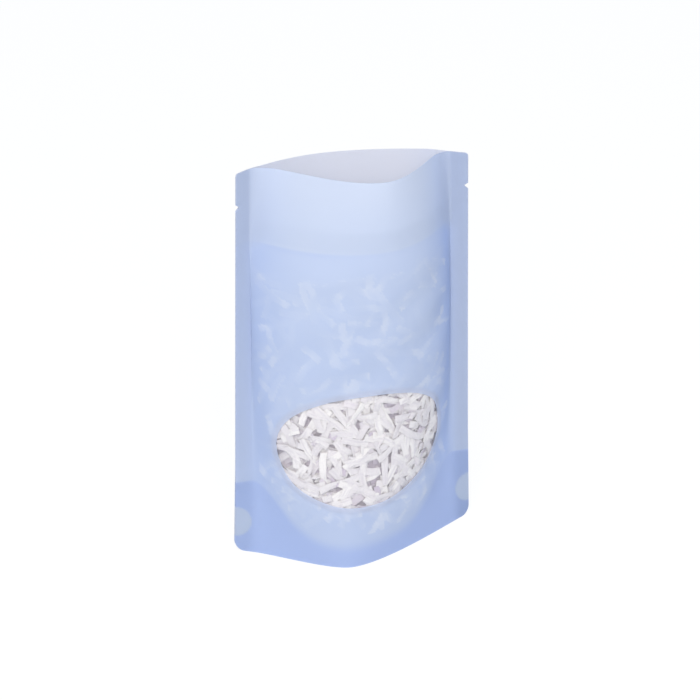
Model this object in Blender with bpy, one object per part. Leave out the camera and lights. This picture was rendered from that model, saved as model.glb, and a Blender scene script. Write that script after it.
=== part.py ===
"""A resealable stand-up bag of frosted film, open at the mouth and filled with shredded paper.

The bag is built the way the real one is. Each sheet is first cut out flat, with s as the distance
along the film from the middle and h as the height, and is then placed on the curved wall of the
standing bag. The width runs along X, the front faces -Y, and the foot stands on Z = 0.
"""
import math
import random

import bmesh
import bpy
import numpy as np
from mathutils import Vector
from mathutils.geometry import delaunay_2d_cdt

# Flat sizes of the bag, in metres
BAG_WIDTH = 0.134
BAG_HEIGHT = 0.200
FILM = 0.00015
CLEARANCE = 0.0003
SIDE_SEAL = 0.0085
FOOT_CORNER = 0.005
MOUTH_CORNER = 0.0015
NOTCH_DROP = 0.017
NOTCH_DEPTH = 0.002
NOTCH_OPENING = 0.003

# The oval window and the clear film behind it
WINDOW_HALF_WIDTH = 0.0450
WINDOW_HALF_HEIGHT = 0.0291
WINDOW_LEVEL = 0.0597
WINDOW_OFFSET = 0.0008
WINDOW_SQUARENESS = 2.15
WINDOW_BORDER = 0.006

# The gusset, its curved seal and its punched holes
GUSSET_DEPTH = 0.038
GUSSET_EDGE = 0.0005
FOOT_SEAL = 0.010
FOLD_LIFT = 0.004
PUNCH_RADIUS = 0.008
PUNCH_LEVEL = 0.016

# The press-to-close strips
ZIPPER_DROP = 0.036
ZIPPER_BAND = 0.011
ZIPPER_BASE = 0.0002
ZIPPER_END = 0.007
RIB_WIDTH = 0.0010
RIB_HEIGHT = 0.0012
LIP_WIDTH = 0.0006
GROOVE_WIDTH = 0.0016

# How the bag stands: the seals draw together, the walls swell and the mouth turns a little
FOOT_DRAW_IN = 0.0131
MOUTH_DRAW_IN = 0.0231
BELLY_LEVEL = 0.070
FOOT_OPENING = math.radians(29.75)
MOUTH_SWEEP = math.radians(-38.25)
MOUTH_TURN = math.radians(-3.0)
SEAM_FADE = 0.0144
FRONT_DEPTHS = {"foot": 0.0320, "belly": 0.0240, "zipper": 0.0230, "mouth": 0.0227}
BACK_DEPTHS = {"foot": 0.0320, "belly": 0.0260, "zipper": 0.0215, "mouth": 0.0221}
FRONT_SHIFTS = {"foot": -0.0096, "belly": -0.0030, "zipper": 0.0062, "mouth": 0.0091}
BACK_SHIFTS = {"foot": 0.0096, "belly": 0.0030, "zipper": -0.0050, "mouth": -0.0066}
FRONT_LIP_DROP = 0.0010
BACK_LIP_DROP = 0.0035
LEFT_SEAL_DROPS = {"edge": 0.0, "crease": 0.0005}
RIGHT_SEAL_DROPS = {"edge": 0.0009, "crease": 0.0016}
SEAL_DROP_REACH = 0.014

# Roundness of the walls, as shares of the half width of a wall: how long the wall keeps the
# direction of its seal, and how long it stays flat at its middle
FRONT_TURNS = {"foot": 0.29, "belly": 0.06, "zipper": 0.06, "mouth": 0.20}
BACK_TURNS = {"foot": 0.29, "belly": 0.08, "zipper": 0.06, "mouth": 0.06}
FRONT_CROWNS = {"foot": 0.25, "belly": 0.75, "zipper": 0.60, "mouth": 0.42}
BACK_CROWNS = {"foot": 0.25, "belly": 0.60, "zipper": 0.52, "mouth": 0.50}

# The paper fill
FILL_BELOW_ZIPPER = 0.014
FILL_MARGIN = 0.0024
FILL_END = 0.0065
FILL_FLOOR_GAP = 0.0012
STRIP_WIDTH = 0.0036
STRIP_LENGTHS = (0.009, 0.019)
STRIP_ROOT = 0.0022
STRIP_STAND = 0.0002
STRIP_TILT = 0.0010
STRIP_SKIN_GAP = 0.0009
TOP_STRIP_LIFTS = (0.0005, 0.0025)
TOP_STRIPS = 18
TOP_STRIP_TURN = math.radians(137.5)
TOP_HALF_WIDTH = 0.034
TOP_HALF_DEPTH = 0.009
WINDOW_STRIPS = (10, 8)
UPPER_STRIPS = (4, 4)
BACK_STRIPS = (3, 5)
CELL_MIDDLE = (0.2, 0.8)
STRIP_SEED = 11

# How finely the curved walls are drawn
WALL_COLUMNS = 22
SEAL_COLUMNS = (0.5, 0.8, 1.0)
WALL_ROW = 0.0143
GRID_MARGIN = 0.00225
MERGE_DISTANCE = 1e-7
NORMAL_STEP = 0.004
CURVE_STEPS = 24
OVAL_STEPS = 44
CORNER_STEPS = 4
PUNCH_STEPS = 24
LEG_STEPS = 4
FLOOR_STEPS = 3
FILL_COLUMNS = 12
FILL_ROWS = 9

FRONT = -1
BACK = 1
STACK_STEP = FILM + CLEARANCE
FLAT_HALF = BAG_WIDTH / 2 - SIDE_SEAL
FILL_TOP = BAG_HEIGHT - ZIPPER_DROP - FILL_BELOW_ZIPPER

FRONT_WALL = {
    "depth": FRONT_DEPTHS, "shift": FRONT_SHIFTS, "turn": FRONT_TURNS,
    "crown": FRONT_CROWNS, "lip_drop": FRONT_LIP_DROP, "sweep_sign": 1,
}
BACK_WALL = {
    "depth": BACK_DEPTHS, "shift": BACK_SHIFTS, "turn": BACK_TURNS,
    "crown": BACK_CROWNS, "lip_drop": BACK_LIP_DROP, "sweep_sign": -1,
}
WALLS = {FRONT: FRONT_WALL, BACK: BACK_WALL}
CURVES = {}


def clear_scene():
    """Take away every object that the file holds."""
    for old in list(bpy.data.objects):
        bpy.data.objects.remove(old, do_unlink=True)


def smooth(value):
    """An even rise from 0 to 1 with level ends."""
    value = min(max(value, 0.0), 1.0)
    return value * value * (3 - 2 * value)


def between_levels(values, h):
    """Read a value that is given at the foot, belly, zipper and mouth at any height."""
    levels = np.array([0.0, BELLY_LEVEL, BAG_HEIGHT - ZIPPER_DROP, BAG_HEIGHT])
    known = np.array([values["foot"], values["belly"], values["zipper"], values["mouth"]])
    slopes = np.gradient(known, levels)
    index = int(np.clip(np.searchsorted(levels, h) - 1, 0, len(levels) - 2))
    span = levels[index + 1] - levels[index]
    t = (h - levels[index]) / span
    rise = t * t * (3 - 2 * t)
    start_slope = span * slopes[index] * t * (1 - t) ** 2
    end_slope = span * slopes[index + 1] * t * t * (t - 1)
    return known[index] * (1 - rise) + known[index + 1] * rise + start_slope + end_slope


def seal_distance(h):
    """The straight distance between the outer edges of the two side seals."""
    draw_in = FOOT_DRAW_IN + (MOUTH_DRAW_IN - FOOT_DRAW_IN) * h / BAG_HEIGHT
    return BAG_WIDTH - draw_in


def seal_angle(side, h):
    """The angle at which a wall leaves the plane of the seals."""
    opening = FOOT_OPENING * (1 - min(h / GUSSET_DEPTH, 1.0))
    swept = max(h - GUSSET_DEPTH, 0.0) / (BAG_HEIGHT - GUSSET_DEPTH)
    return opening + WALLS[side]["sweep_sign"] * MOUTH_SWEEP * swept


def seam_offset(h):
    """Half the thickness of the stack of sheets in the side seal, from sheet middle to middle."""
    sheets_apart = 3 - 2 * smooth((h - GUSSET_DEPTH) / SEAM_FADE)
    return sheets_apart * STACK_STEP / 2


def half_wall(side, h, end):
    """Points of one half of a wall in plan, from its seal to the wall's middle."""
    wall = WALLS[side]
    angle = seal_angle(side, h)
    inward = np.array([-end * math.cos(angle), math.sin(angle)])
    crease = np.array([end * seal_distance(h) / 2, 0.0]) + SIDE_SEAL * inward
    middle = np.array([between_levels(wall["shift"], h), between_levels(wall["depth"], h)])
    reach = abs(middle[0] - crease[0])
    leave = crease + between_levels(wall["turn"], h) * reach * inward
    arrive = middle + np.array([end * between_levels(wall["crown"], h) * reach, 0.0])
    t = np.linspace(0, 1, CURVE_STEPS + 1)[:, None]
    return ((1 - t) ** 3 * crease + 3 * (1 - t) ** 2 * t * leave
            + 3 * (1 - t) * t ** 2 * arrive + t ** 3 * middle)


def wall_curve(side, h):
    """The wall in plan between its two creases, with the distance run along it."""
    key = (side, round(h, 7))
    if key not in CURVES:
        left = half_wall(side, h, -1)
        right = half_wall(side, h, 1)
        points = np.vstack([left, right[::-1][1:]])
        steps = np.linalg.norm(np.diff(points, axis=0), axis=1)
        CURVES[key] = (points, np.concatenate([[0.0], np.cumsum(steps)]))
    return CURVES[key]


def plan_point(side, s, h):
    """Where a wall is in plan, as its distance along X and out of the seal plane, and its outward side."""
    points, run = wall_curve(side, h)
    if abs(s) > FLAT_HALF:
        end = 1 if s > 0 else -1
        angle = seal_angle(side, h)
        outward_run = np.array([end * math.cos(angle), -math.sin(angle)])
        crease = points[-1] if s > 0 else points[0]
        normal = np.array([math.sin(angle) * end, math.cos(angle)])
        return crease + (abs(s) - FLAT_HALF) * outward_run, normal
    along = (s + FLAT_HALF) / (2 * FLAT_HALF) * run[-1]
    step = run[-1] * NORMAL_STEP
    here = np.array([np.interp(along, run, points[:, axis]) for axis in (0, 1)])
    ahead = np.array([np.interp(along + step, run, points[:, axis]) for axis in (0, 1)])
    behind = np.array([np.interp(along - step, run, points[:, axis]) for axis in (0, 1)])
    direction = (ahead - behind) / np.linalg.norm(ahead - behind)
    return here, np.array([-direction[1], direction[0]])


def lip_drop(side, s, h, out):
    """How far the mouth's edge dips at a place, alike in both walls where they are welded."""
    wall = WALLS[side]
    drops = RIGHT_SEAL_DROPS if s > 0 else LEFT_SEAL_DROPS
    past_crease = FLAT_HALF - abs(s)
    if past_crease < 0:
        return drops["crease"] + (drops["edge"] - drops["crease"]) * -past_crease / SIDE_SEAL
    steepness = wall["lip_drop"] / between_levels(wall["depth"], h)
    crease_out = SIDE_SEAL * math.sin(seal_angle(side, h))
    at_crease = drops["crease"] - steepness * max(crease_out, 0.0)
    return steepness * max(out, 0.0) + at_crease * (1 - smooth(past_crease / SEAL_DROP_REACH))


def place(side, s, h, inset=0.0):
    """Put a point of the flat bag on the standing bag, moved into the bag by the inset."""
    here, normal = plan_point(side, s, h)
    x, out = here + (seam_offset(h) - inset) * normal
    y = side * out
    turn = MOUTH_TURN * h / BAG_HEIGHT
    z = h - lip_drop(side, s, h, out) * (h / BAG_HEIGHT) ** 2
    return Vector((x * math.cos(turn) - y * math.sin(turn), x * math.sin(turn) + y * math.cos(turn), z))


def film_material(name, colour, roughness, alpha=1.0):
    """A Principled material with the piece's own colour."""
    material = bpy.data.materials.new(name)
    material.use_nodes = True
    shader = material.node_tree.nodes["Principled BSDF"]
    shader.inputs["Base Color"].default_value = (*colour, 1.0)
    shader.inputs["Roughness"].default_value = roughness
    shader.inputs["Metallic"].default_value = 0.0
    shader.inputs["Alpha"].default_value = alpha
    return material


def add_object(name, vertices, faces, material=None):
    """Make an object of a mesh whose faces are turned outwards."""
    mesh = bpy.data.meshes.new(name)
    mesh.from_pydata([tuple(v) for v in vertices], [], faces)
    shaper = bmesh.new()
    shaper.from_mesh(mesh)
    bmesh.ops.recalc_face_normals(shaper, faces=shaper.faces)
    shaper.to_mesh(mesh)
    shaper.free()
    mesh.shade_smooth()
    mesh.set_sharp_from_angle(angle=math.radians(40))
    if material:
        mesh.materials.append(material)
    made = bpy.data.objects.new(name, mesh)
    bpy.context.scene.collection.objects.link(made)
    return made


def columns():
    """The s values of the wall's columns, closer together near the seals, where it bends most."""
    middle = []
    for i in range(WALL_COLUMNS + 1):
        share = i / WALL_COLUMNS
        middle.append(FLAT_HALF * (share - 0.5 - 0.5 * math.cos(math.pi * share)))
    seal = [FLAT_HALF + SIDE_SEAL * share for share in SEAL_COLUMNS]
    return [-s for s in reversed(seal)] + middle + seal


def rows(low, high):
    """Evenly spaced heights from low to high."""
    count = max(round((high - low) / WALL_ROW), 1)
    return [low + (high - low) * i / count for i in range(count + 1)]


def corner(centre, radius, start):
    """Points of a quarter turn, anticlockwise from the start angle in degrees."""
    angles = [math.radians(start + 90 * i / CORNER_STEPS) for i in range(CORNER_STEPS + 1)]
    return [(centre[0] + radius * math.cos(a), centre[1] + radius * math.sin(a)) for a in angles]


def panel_outline():
    """The cut edge of a panel, anticlockwise: round corners, and a tear notch in each side."""
    half = BAG_WIDTH / 2
    notch = BAG_HEIGHT - NOTCH_DROP
    inner = [s for s in columns() if abs(s) < half - FOOT_CORNER - GRID_MARGIN]
    side = [h for h in rows(0, BAG_HEIGHT) if FOOT_CORNER + GRID_MARGIN < h < notch - NOTCH_OPENING]
    cut = [(half, notch - NOTCH_OPENING / 2), (half - NOTCH_DEPTH, notch), (half, notch + NOTCH_OPENING / 2)]
    outline = [(s, 0.0) for s in inner]
    outline += corner((half - FOOT_CORNER, FOOT_CORNER), FOOT_CORNER, -90)
    outline += [(half, h) for h in side] + cut
    outline += corner((half - MOUTH_CORNER, BAG_HEIGHT - MOUTH_CORNER), MOUTH_CORNER, 0)
    outline += [(s, BAG_HEIGHT) for s in reversed(inner)]
    outline += corner((MOUTH_CORNER - half, BAG_HEIGHT - MOUTH_CORNER), MOUTH_CORNER, 90)
    outline += [(-s, h) for s, h in reversed(cut)] + [(-half, h) for h in reversed(side)]
    outline += corner((FOOT_CORNER - half, FOOT_CORNER), FOOT_CORNER, 180)
    return outline


def oval(border):
    """The window's edge in the flat, or a line that lies the border outside it."""
    power = 2 / WINDOW_SQUARENESS
    edge = []
    for i in range(OVAL_STEPS):
        angle = 2 * math.pi * i / OVAL_STEPS
        across = math.copysign(abs(math.cos(angle)) ** power, math.cos(angle))
        up = math.copysign(abs(math.sin(angle)) ** power, math.sin(angle))
        s = WINDOW_OFFSET + (WINDOW_HALF_WIDTH + border) * across
        h = WINDOW_LEVEL + (WINDOW_HALF_HEIGHT + border) * up
        edge.append((s, h))
    return edge


def is_inside(point, loop):
    """Tell whether a flat point lies inside a closed line."""
    inside = False
    for (s0, h0), (s1, h1) in zip(loop, loop[1:] + loop[:1]):
        if (h0 > point[1]) != (h1 > point[1]):
            crossing = s0 + (point[1] - h0) * (s1 - s0) / (h1 - h0)
            inside = inside != (point[0] < crossing)
    return inside


def distance_to(point, loop):
    """The least distance from a flat point to a closed line."""
    start = np.array(loop)
    edge = np.roll(start, -1, axis=0) - start
    offset = np.array(point) - start
    share = np.clip((offset * edge).sum(axis=1) / (edge * edge).sum(axis=1), 0, 1)
    return float(np.linalg.norm(offset - share[:, None] * edge, axis=1).min())


def flat_sheet(outline, holes, bond_lines):
    """Divide a flat cut-out into triangles whose corners lie on the wall's columns and rows.

    Sheets that are bonded share their bond lines, so their triangles match and stay apart.
    """
    loops = [outline] + holes + bond_lines
    grid = []
    for h in rows(0, BAG_HEIGHT):
        for s in columns():
            clear_of_edges = all(distance_to((s, h), loop) > GRID_MARGIN for loop in loops)
            if clear_of_edges and is_inside((s, h), outline):
                grid.append((s, h))
    grid = [point for point in grid if not any(is_inside(point, hole) for hole in holes)]
    points = []
    edges = []
    for loop in loops:
        first = len(points)
        points += loop
        edges += [(first + i, first + (i + 1) % len(loop)) for i in range(len(loop))]
    corners = [Vector(p) for p in points + grid]
    flat, _, triangles, *_ = delaunay_2d_cdt(corners, edges, [], 1, MERGE_DISTANCE)
    kept = []
    for triangle in triangles:
        centre = sum((flat[i] for i in triangle), Vector((0, 0))) / 3
        if is_inside(centre, outline) and not any(is_inside(centre, hole) for hole in holes):
            kept.append(tuple(triangle))
    return [tuple(p) for p in flat], kept


def rim_edges(triangles):
    """The edges that only one triangle uses, in that triangle's direction."""
    used = set()
    for triangle in triangles:
        used.update(zip(triangle, triangle[1:] + triangle[:1]))
    return [edge for edge in used if (edge[1], edge[0]) not in used]


def add_wall_sheet(name, side, flat, inset, material):
    """Give a flat cut-out the thickness of the film and place it on a wall."""
    points, triangles = flat
    count = len(points)
    outer = [place(side, s, h, inset - FILM / 2) for s, h in points]
    inner = [place(side, s, h, inset + FILM / 2) for s, h in points]
    faces = list(triangles) + [tuple(count + i for i in reversed(t)) for t in triangles]
    faces += [(b, a, count + a, count + b) for a, b in sorted(rim_edges(triangles))]
    return add_object(name, outer + inner, faces, material)


def foot_seal_height(s):
    """The height of the curved seal between a panel and the gusset."""
    share = min(abs(s) / FLAT_HALF, 1.0)
    top = GUSSET_DEPTH - STACK_STEP
    return FOOT_SEAL + (top - FOOT_SEAL) * math.sin(math.pi / 2 * share * share) ** 2


def fold_point(s, side):
    """The gusset's fold, which the bag's opening turned into the middle of its floor."""
    seal = foot_seal_height(s)
    front = place(FRONT, s, seal, STACK_STEP)
    back = place(BACK, s, seal, STACK_STEP)
    share = min(abs(s) / FLAT_HALF, 1.0)
    across = (back - front).normalized()
    middle = (front + back) / 2 + side * STACK_STEP / 2 * across
    middle.z = seal + FOLD_LIFT * (1 - share * share) + STACK_STEP
    return middle


def gusset_foot(s):
    """The height of the gusset's lower edge, which is rounded at its corners with the panels."""
    past = max(abs(s) - (BAG_WIDTH / 2 - FOOT_CORNER), 0.0)
    return GUSSET_EDGE + FOOT_CORNER - math.sqrt(max(FOOT_CORNER ** 2 - past ** 2, 0.0))


def gusset_column(s, side):
    """Points of the gusset at one place along the bag: up the panel, then in to the fold."""
    seal = foot_seal_height(s)
    foot = gusset_foot(s)
    column = []
    for i in range(LEG_STEPS + 1):
        h = foot + (seal - foot) * i / LEG_STEPS
        column.append(place(side, s, h, STACK_STEP))
    start = column[-1]
    fold = fold_point(s, side)
    above = Vector((start.x, start.y, fold.z))
    for i in range(1, FLOOR_STEPS + 1):
        t = i / FLOOR_STEPS
        column.append(start * (1 - t) ** 2 + above * 2 * t * (1 - t) + fold * t * t)
    return column


def add_punch(name, end):
    """A hidden cutter for the half-round hole at one side edge of the gusset."""
    bpy.ops.mesh.primitive_cylinder_add(vertices=PUNCH_STEPS, radius=PUNCH_RADIUS, depth=BAG_WIDTH / 2)
    punch = bpy.context.object
    punch.name = name
    punch.rotation_euler = (math.pi / 2, 0, 0)
    punch.location = (end * seal_distance(PUNCH_LEVEL) / 2, 0, PUNCH_LEVEL)
    punch.hide_render = True
    punch.display_type = "WIRE"
    return punch


def add_gusset(material):
    """The folded sheet at the foot, opened into a floor, with its punched side edges."""
    strips = [gusset_column(s, FRONT) + gusset_column(s, BACK)[::-1] for s in columns()]
    depth = len(strips[0])
    vertices = [point for strip in strips for point in strip]
    faces = []
    for i in range(len(strips) - 1):
        for j in range(depth - 1):
            a = i * depth + j
            faces.append((a, a + 1, a + depth + 1, a + depth))
    gusset = add_object("bottom_gusset", vertices, faces, material)
    film = gusset.modifiers.new("film", "SOLIDIFY")
    film.thickness = FILM
    film.offset = 0
    for name, end in (("punch_left", -1), ("punch_right", 1)):
        hole = gusset.modifiers.new(name, "BOOLEAN")
        hole.operation = "DIFFERENCE"
        hole.object = add_punch(name, end)
    return gusset


def zipper_profile(has_rib):
    """The section of a press-to-close strip, as insets from the film's middle and heights."""
    low = BAG_HEIGHT - ZIPPER_DROP
    high = low + ZIPPER_BAND
    middle = (low + high) / 2
    outer = FILM / 2 + CLEARANCE
    inner = outer + ZIPPER_BASE
    tip = inner + RIB_HEIGHT
    if has_rib:
        ribs = [(middle, RIB_WIDTH)]
    else:
        apart = (GROOVE_WIDTH + LIP_WIDTH) / 2
        ribs = [(middle - apart, LIP_WIDTH), (middle + apart, LIP_WIDTH)]
    profile = [(outer, high), (outer, low), (inner, low)]
    for centre, width in ribs:
        bottom = centre - width / 2
        top = centre + width / 2
        profile += [(inner, bottom), (tip, bottom), (tip, top), (inner, top)]
    return profile + [(inner, high)]


def add_zipper(name, side, has_rib, material):
    """One press-to-close strip, run along the wall from side to side."""
    profile = zipper_profile(has_rib)
    reach = FLAT_HALF - ZIPPER_END
    inner = [s for s in columns() if abs(s) < reach - FOOT_CORNER / 2]
    stations = [-reach] + inner + [reach]
    count = len(profile)
    vertices = [place(side, s, h, inset) for s in stations for inset, h in profile]
    faces = [tuple(range(count)), tuple(range(len(vertices) - count, len(vertices)))[::-1]]
    for i in range(len(stations) - 1):
        for j in range(count):
            a = i * count + j
            b = i * count + (j + 1) % count
            faces.append((a, b, b + count, a + count))
    return add_object(name, vertices, faces, material)


def fill_floor(s):
    """The height at which the paper rests on the gusset."""
    return max(fold_point(s, FRONT).z, foot_seal_height(s)) + FILL_FLOOR_GAP


def fill_core():
    """The closed body of the paper: rings of points that keep the margin from the walls."""
    reach = FLAT_HALF - FILL_END
    across = FILL_COLUMNS
    up = FILL_ROWS
    stations = [reach * math.sin(math.pi * (i / across - 0.5)) for i in range(across + 1)]
    loop = [(FRONT, s) for s in stations] + [(BACK, s) for s in reversed(stations)]
    vertices = []
    for j in range(up + 1):
        for side, s in loop:
            h = fill_floor(s) + (FILL_TOP - fill_floor(s)) * j / up
            vertices.append(place(side, s, h, FILL_MARGIN))
    size = len(loop)
    faces = []
    for j in range(up):
        for i in range(size):
            a = j * size + i
            b = j * size + (i + 1) % size
            faces.append((a, b, b + size, a + size))
    for base in (0, up * size):
        for i in range(across):
            faces.append((base + i, base + i + 1, base + size - 2 - i, base + size - 1 - i))
    return vertices, faces


def strip_block(point_at, length, angle):
    """A bent bar of paper: three stations along it, each with two top and two root corners."""
    along = (math.cos(angle), math.sin(angle))
    aside = (-along[1], along[0])
    vertices = []
    for share in (-0.5, 0.0, 0.5):
        for edge in (-0.5, 0.5):
            a = share * length * along[0] + edge * STRIP_WIDTH * aside[0]
            b = share * length * along[1] + edge * STRIP_WIDTH * aside[1]
            vertices += [point_at(a, b, share, True), point_at(a, b, share, False)]
    faces = [(0, 1, 3, 2), (8, 10, 11, 9)]
    for i in (0, 4):
        faces += [(i, i + 2, i + 6, i + 4), (i + 1, i + 5, i + 7, i + 3)]
        faces += [(i, i + 4, i + 5, i + 1), (i + 2, i + 3, i + 7, i + 6)]
    return vertices, faces


def wall_strip(side, s, h, picker):
    """A strip that lies against a wall, seen through the window or the frosted film."""
    lift = picker.uniform(0.0, (FILL_MARGIN - STRIP_SKIN_GAP) / 2)
    tilt = picker.uniform(-1, 1) * lift
    length = picker.uniform(*STRIP_LENGTHS)

    def point_at(a, b, share, is_top):
        high = FILL_MARGIN - STRIP_STAND - lift - tilt * share
        inset = max(high, STRIP_SKIN_GAP) if is_top else FILL_MARGIN + STRIP_ROOT
        return place(side, s + a, h + b, inset)

    return strip_block(point_at, length, picker.uniform(0, math.pi))


def top_strip(x, y, picker):
    """A strip that lies on the top of the paper."""
    lift = picker.uniform(*TOP_STRIP_LIFTS)
    tilt = picker.uniform(-1, 1) * STRIP_TILT
    length = picker.uniform(*STRIP_LENGTHS)

    def point_at(a, b, share, is_top):
        z = FILL_TOP + lift + tilt * share if is_top else FILL_TOP - STRIP_ROOT
        return Vector((x + a, y + b, z))

    return strip_block(point_at, length, picker.uniform(0, math.pi))


def scattered(low, high, cells, picker):
    """Points spread over a flat field, one near the middle of each of its cells."""
    reach = FLAT_HALF - 2 * FILL_END - STRIP_LENGTHS[1] / 4
    across, up = cells
    for i in range(across):
        for j in range(up):
            s = reach * (2 * (i + picker.uniform(*CELL_MIDDLE)) / across - 1)
            h = low + (high - low) * (j + picker.uniform(*CELL_MIDDLE)) / up
            if h > fill_floor(min(abs(s) + STRIP_LENGTHS[0], reach)) + STRIP_LENGTHS[1] / 3:
                yield s, h


def loose_strips():
    """Every strip that stands out of the paper's body: most of them behind the window."""
    picker = random.Random(STRIP_SEED)
    window_top = WINDOW_LEVEL + WINDOW_HALF_HEIGHT
    upper = FILL_TOP - STRIP_LENGTHS[1] / 2
    fields = [
        (FRONT, FOOT_SEAL, window_top, WINDOW_STRIPS),
        (FRONT, window_top, upper, UPPER_STRIPS),
        (BACK, FOOT_SEAL, upper, BACK_STRIPS),
    ]
    blocks = []
    for side, low, high, cells in fields:
        blocks += [wall_strip(side, s, h, picker) for s, h in scattered(low, high, cells, picker)]
    for i in range(TOP_STRIPS):
        turn = TOP_STRIP_TURN * i
        spread = math.sqrt((i + 0.5) / TOP_STRIPS)
        x = TOP_HALF_WIDTH * spread * math.cos(turn)
        blocks.append(top_strip(x, TOP_HALF_DEPTH * spread * math.sin(turn), picker))
    return blocks


def add_fill(material):
    """The shredded paper as one closed body: its core joined with its outstanding strips."""
    core, core_faces = fill_core()
    fill = add_object("shredded_paper", core, core_faces, material)
    vertices = []
    faces = []
    for points, sides in loose_strips():
        first = len(vertices)
        vertices += points
        faces += [tuple(first + i for i in face) for face in sides]
    relief = add_object("paper_relief", vertices, faces)
    relief.hide_render = True
    relief.display_type = "WIRE"
    join = fill.modifiers.new("relief", "BOOLEAN")
    join.operation = "UNION"
    join.use_self = True
    join.object = relief
    return fill


def build():
    """Make every piece of the bag."""
    clear_scene()
    film = film_material("frosted_film", (0.56, 0.66, 0.90), 0.45)
    foot = film_material("gusset_film", (0.42, 0.53, 0.83), 0.45)
    clear = film_material("clear_film", (0.90, 0.92, 0.95), 0.08, 0.25)
    strip = film_material("zipper_strip", (0.66, 0.73, 0.90), 0.40)
    paper = film_material("white_paper", (0.86, 0.86, 0.88), 0.85)
    front = flat_sheet(panel_outline(), [oval(0.0)], [oval(WINDOW_BORDER)])
    back = flat_sheet(panel_outline(), [], [])
    window = flat_sheet(oval(WINDOW_BORDER), [], [oval(0.0)])
    add_wall_sheet("front_panel", FRONT, front, 0.0, film)
    add_wall_sheet("back_panel", BACK, back, 0.0, film)
    add_wall_sheet("window_film", FRONT, window, STACK_STEP, clear)
    add_gusset(foot)
    add_zipper("zipper_rib_strip", FRONT, True, strip)
    add_zipper("zipper_groove_strip", BACK, False, strip)
    add_fill(paper)


build()
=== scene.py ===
"""The looks of a resealable stand-up bag: frosted film, a clear oval window and shredded paper.

Every sheet is cut out flat, with s as the distance along the film from the middle of the bag and h
as the height, and is then placed on the curved wall of the standing bag, as the solids are.
"""
from __future__ import annotations

import logging
import math
from dataclasses import dataclass, field
from enum import IntEnum
from typing import NamedTuple, Sequence

import bpy
import numpy as np
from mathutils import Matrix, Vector
from mathutils.bvhtree import BVHTree
from mathutils.geometry import delaunay_2d_cdt

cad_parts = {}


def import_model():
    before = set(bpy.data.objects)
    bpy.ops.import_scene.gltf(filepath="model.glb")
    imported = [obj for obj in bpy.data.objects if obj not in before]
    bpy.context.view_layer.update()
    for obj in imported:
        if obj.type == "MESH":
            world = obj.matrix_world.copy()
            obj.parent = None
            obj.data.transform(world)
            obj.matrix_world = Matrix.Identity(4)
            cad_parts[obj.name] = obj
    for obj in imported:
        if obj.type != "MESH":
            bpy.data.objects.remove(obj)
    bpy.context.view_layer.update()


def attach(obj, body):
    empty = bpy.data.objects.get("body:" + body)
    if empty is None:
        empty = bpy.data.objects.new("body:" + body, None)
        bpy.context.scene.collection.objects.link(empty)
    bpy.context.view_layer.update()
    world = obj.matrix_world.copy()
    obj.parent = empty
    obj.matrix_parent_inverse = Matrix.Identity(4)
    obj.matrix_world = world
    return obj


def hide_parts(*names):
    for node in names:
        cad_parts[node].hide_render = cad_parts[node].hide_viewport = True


LOG = logging.getLogger("stand_up_bag")
MM = 0.001
BODY = "root"

Colour = tuple[float, float, float]
Flat = tuple[float, float]
Span = tuple[float, float]
Faces = list[tuple[int, ...]]
Tree = bpy.types.NodeTree
Node = bpy.types.Node
Socket = bpy.types.NodeSocket
Inputs = dict[str | int, object]

WHOLE: Span = (0.0, 1.0)
SMOOTH_UNDER = math.radians(50)
SAME_POINT = 1e-6


class Side(IntEnum):
    """The two walls of the bag, by the direction along Y in which they swell."""

    FRONT = -1
    BACK = 1


class Levels(NamedTuple):
    """One measure of a wall at its foot, its belly, its press-to-close strip and its mouth."""

    foot: float
    belly: float
    zipper: float
    mouth: float


@dataclass(frozen=True)
class WallForm:
    """How one wall swells out of the plane of the side seals.

    The turn and the crown are shares of the half width of the wall: how long it keeps the direction
    of its seal, and how long it stays flat at its middle.
    """

    depth: Levels
    shift: Levels
    turn: Levels
    crown: Levels
    lip_drop: float
    sweep_sign: int


FRONT_FORM = WallForm(
    depth=Levels(32.0 * MM, 24.0 * MM, 23.0 * MM, 22.7 * MM),
    shift=Levels(-9.6 * MM, -3.0 * MM, 6.2 * MM, 9.1 * MM),
    turn=Levels(0.29, 0.06, 0.06, 0.20),
    crown=Levels(0.25, 0.75, 0.60, 0.42),
    lip_drop=1.0 * MM,
    sweep_sign=1,
)
BACK_FORM = WallForm(
    depth=Levels(32.0 * MM, 26.0 * MM, 21.5 * MM, 22.1 * MM),
    shift=Levels(9.6 * MM, 3.0 * MM, -5.0 * MM, -6.6 * MM),
    turn=Levels(0.29, 0.08, 0.06, 0.06),
    crown=Levels(0.25, 0.60, 0.52, 0.50),
    lip_drop=3.5 * MM,
    sweep_sign=-1,
)


def smooth(value: np.ndarray | float) -> np.ndarray:
    """Return an even rise from 0 to 1 with level ends."""
    value = np.clip(value, 0.0, 1.0)
    return value * value * (3 - 2 * value)


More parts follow.
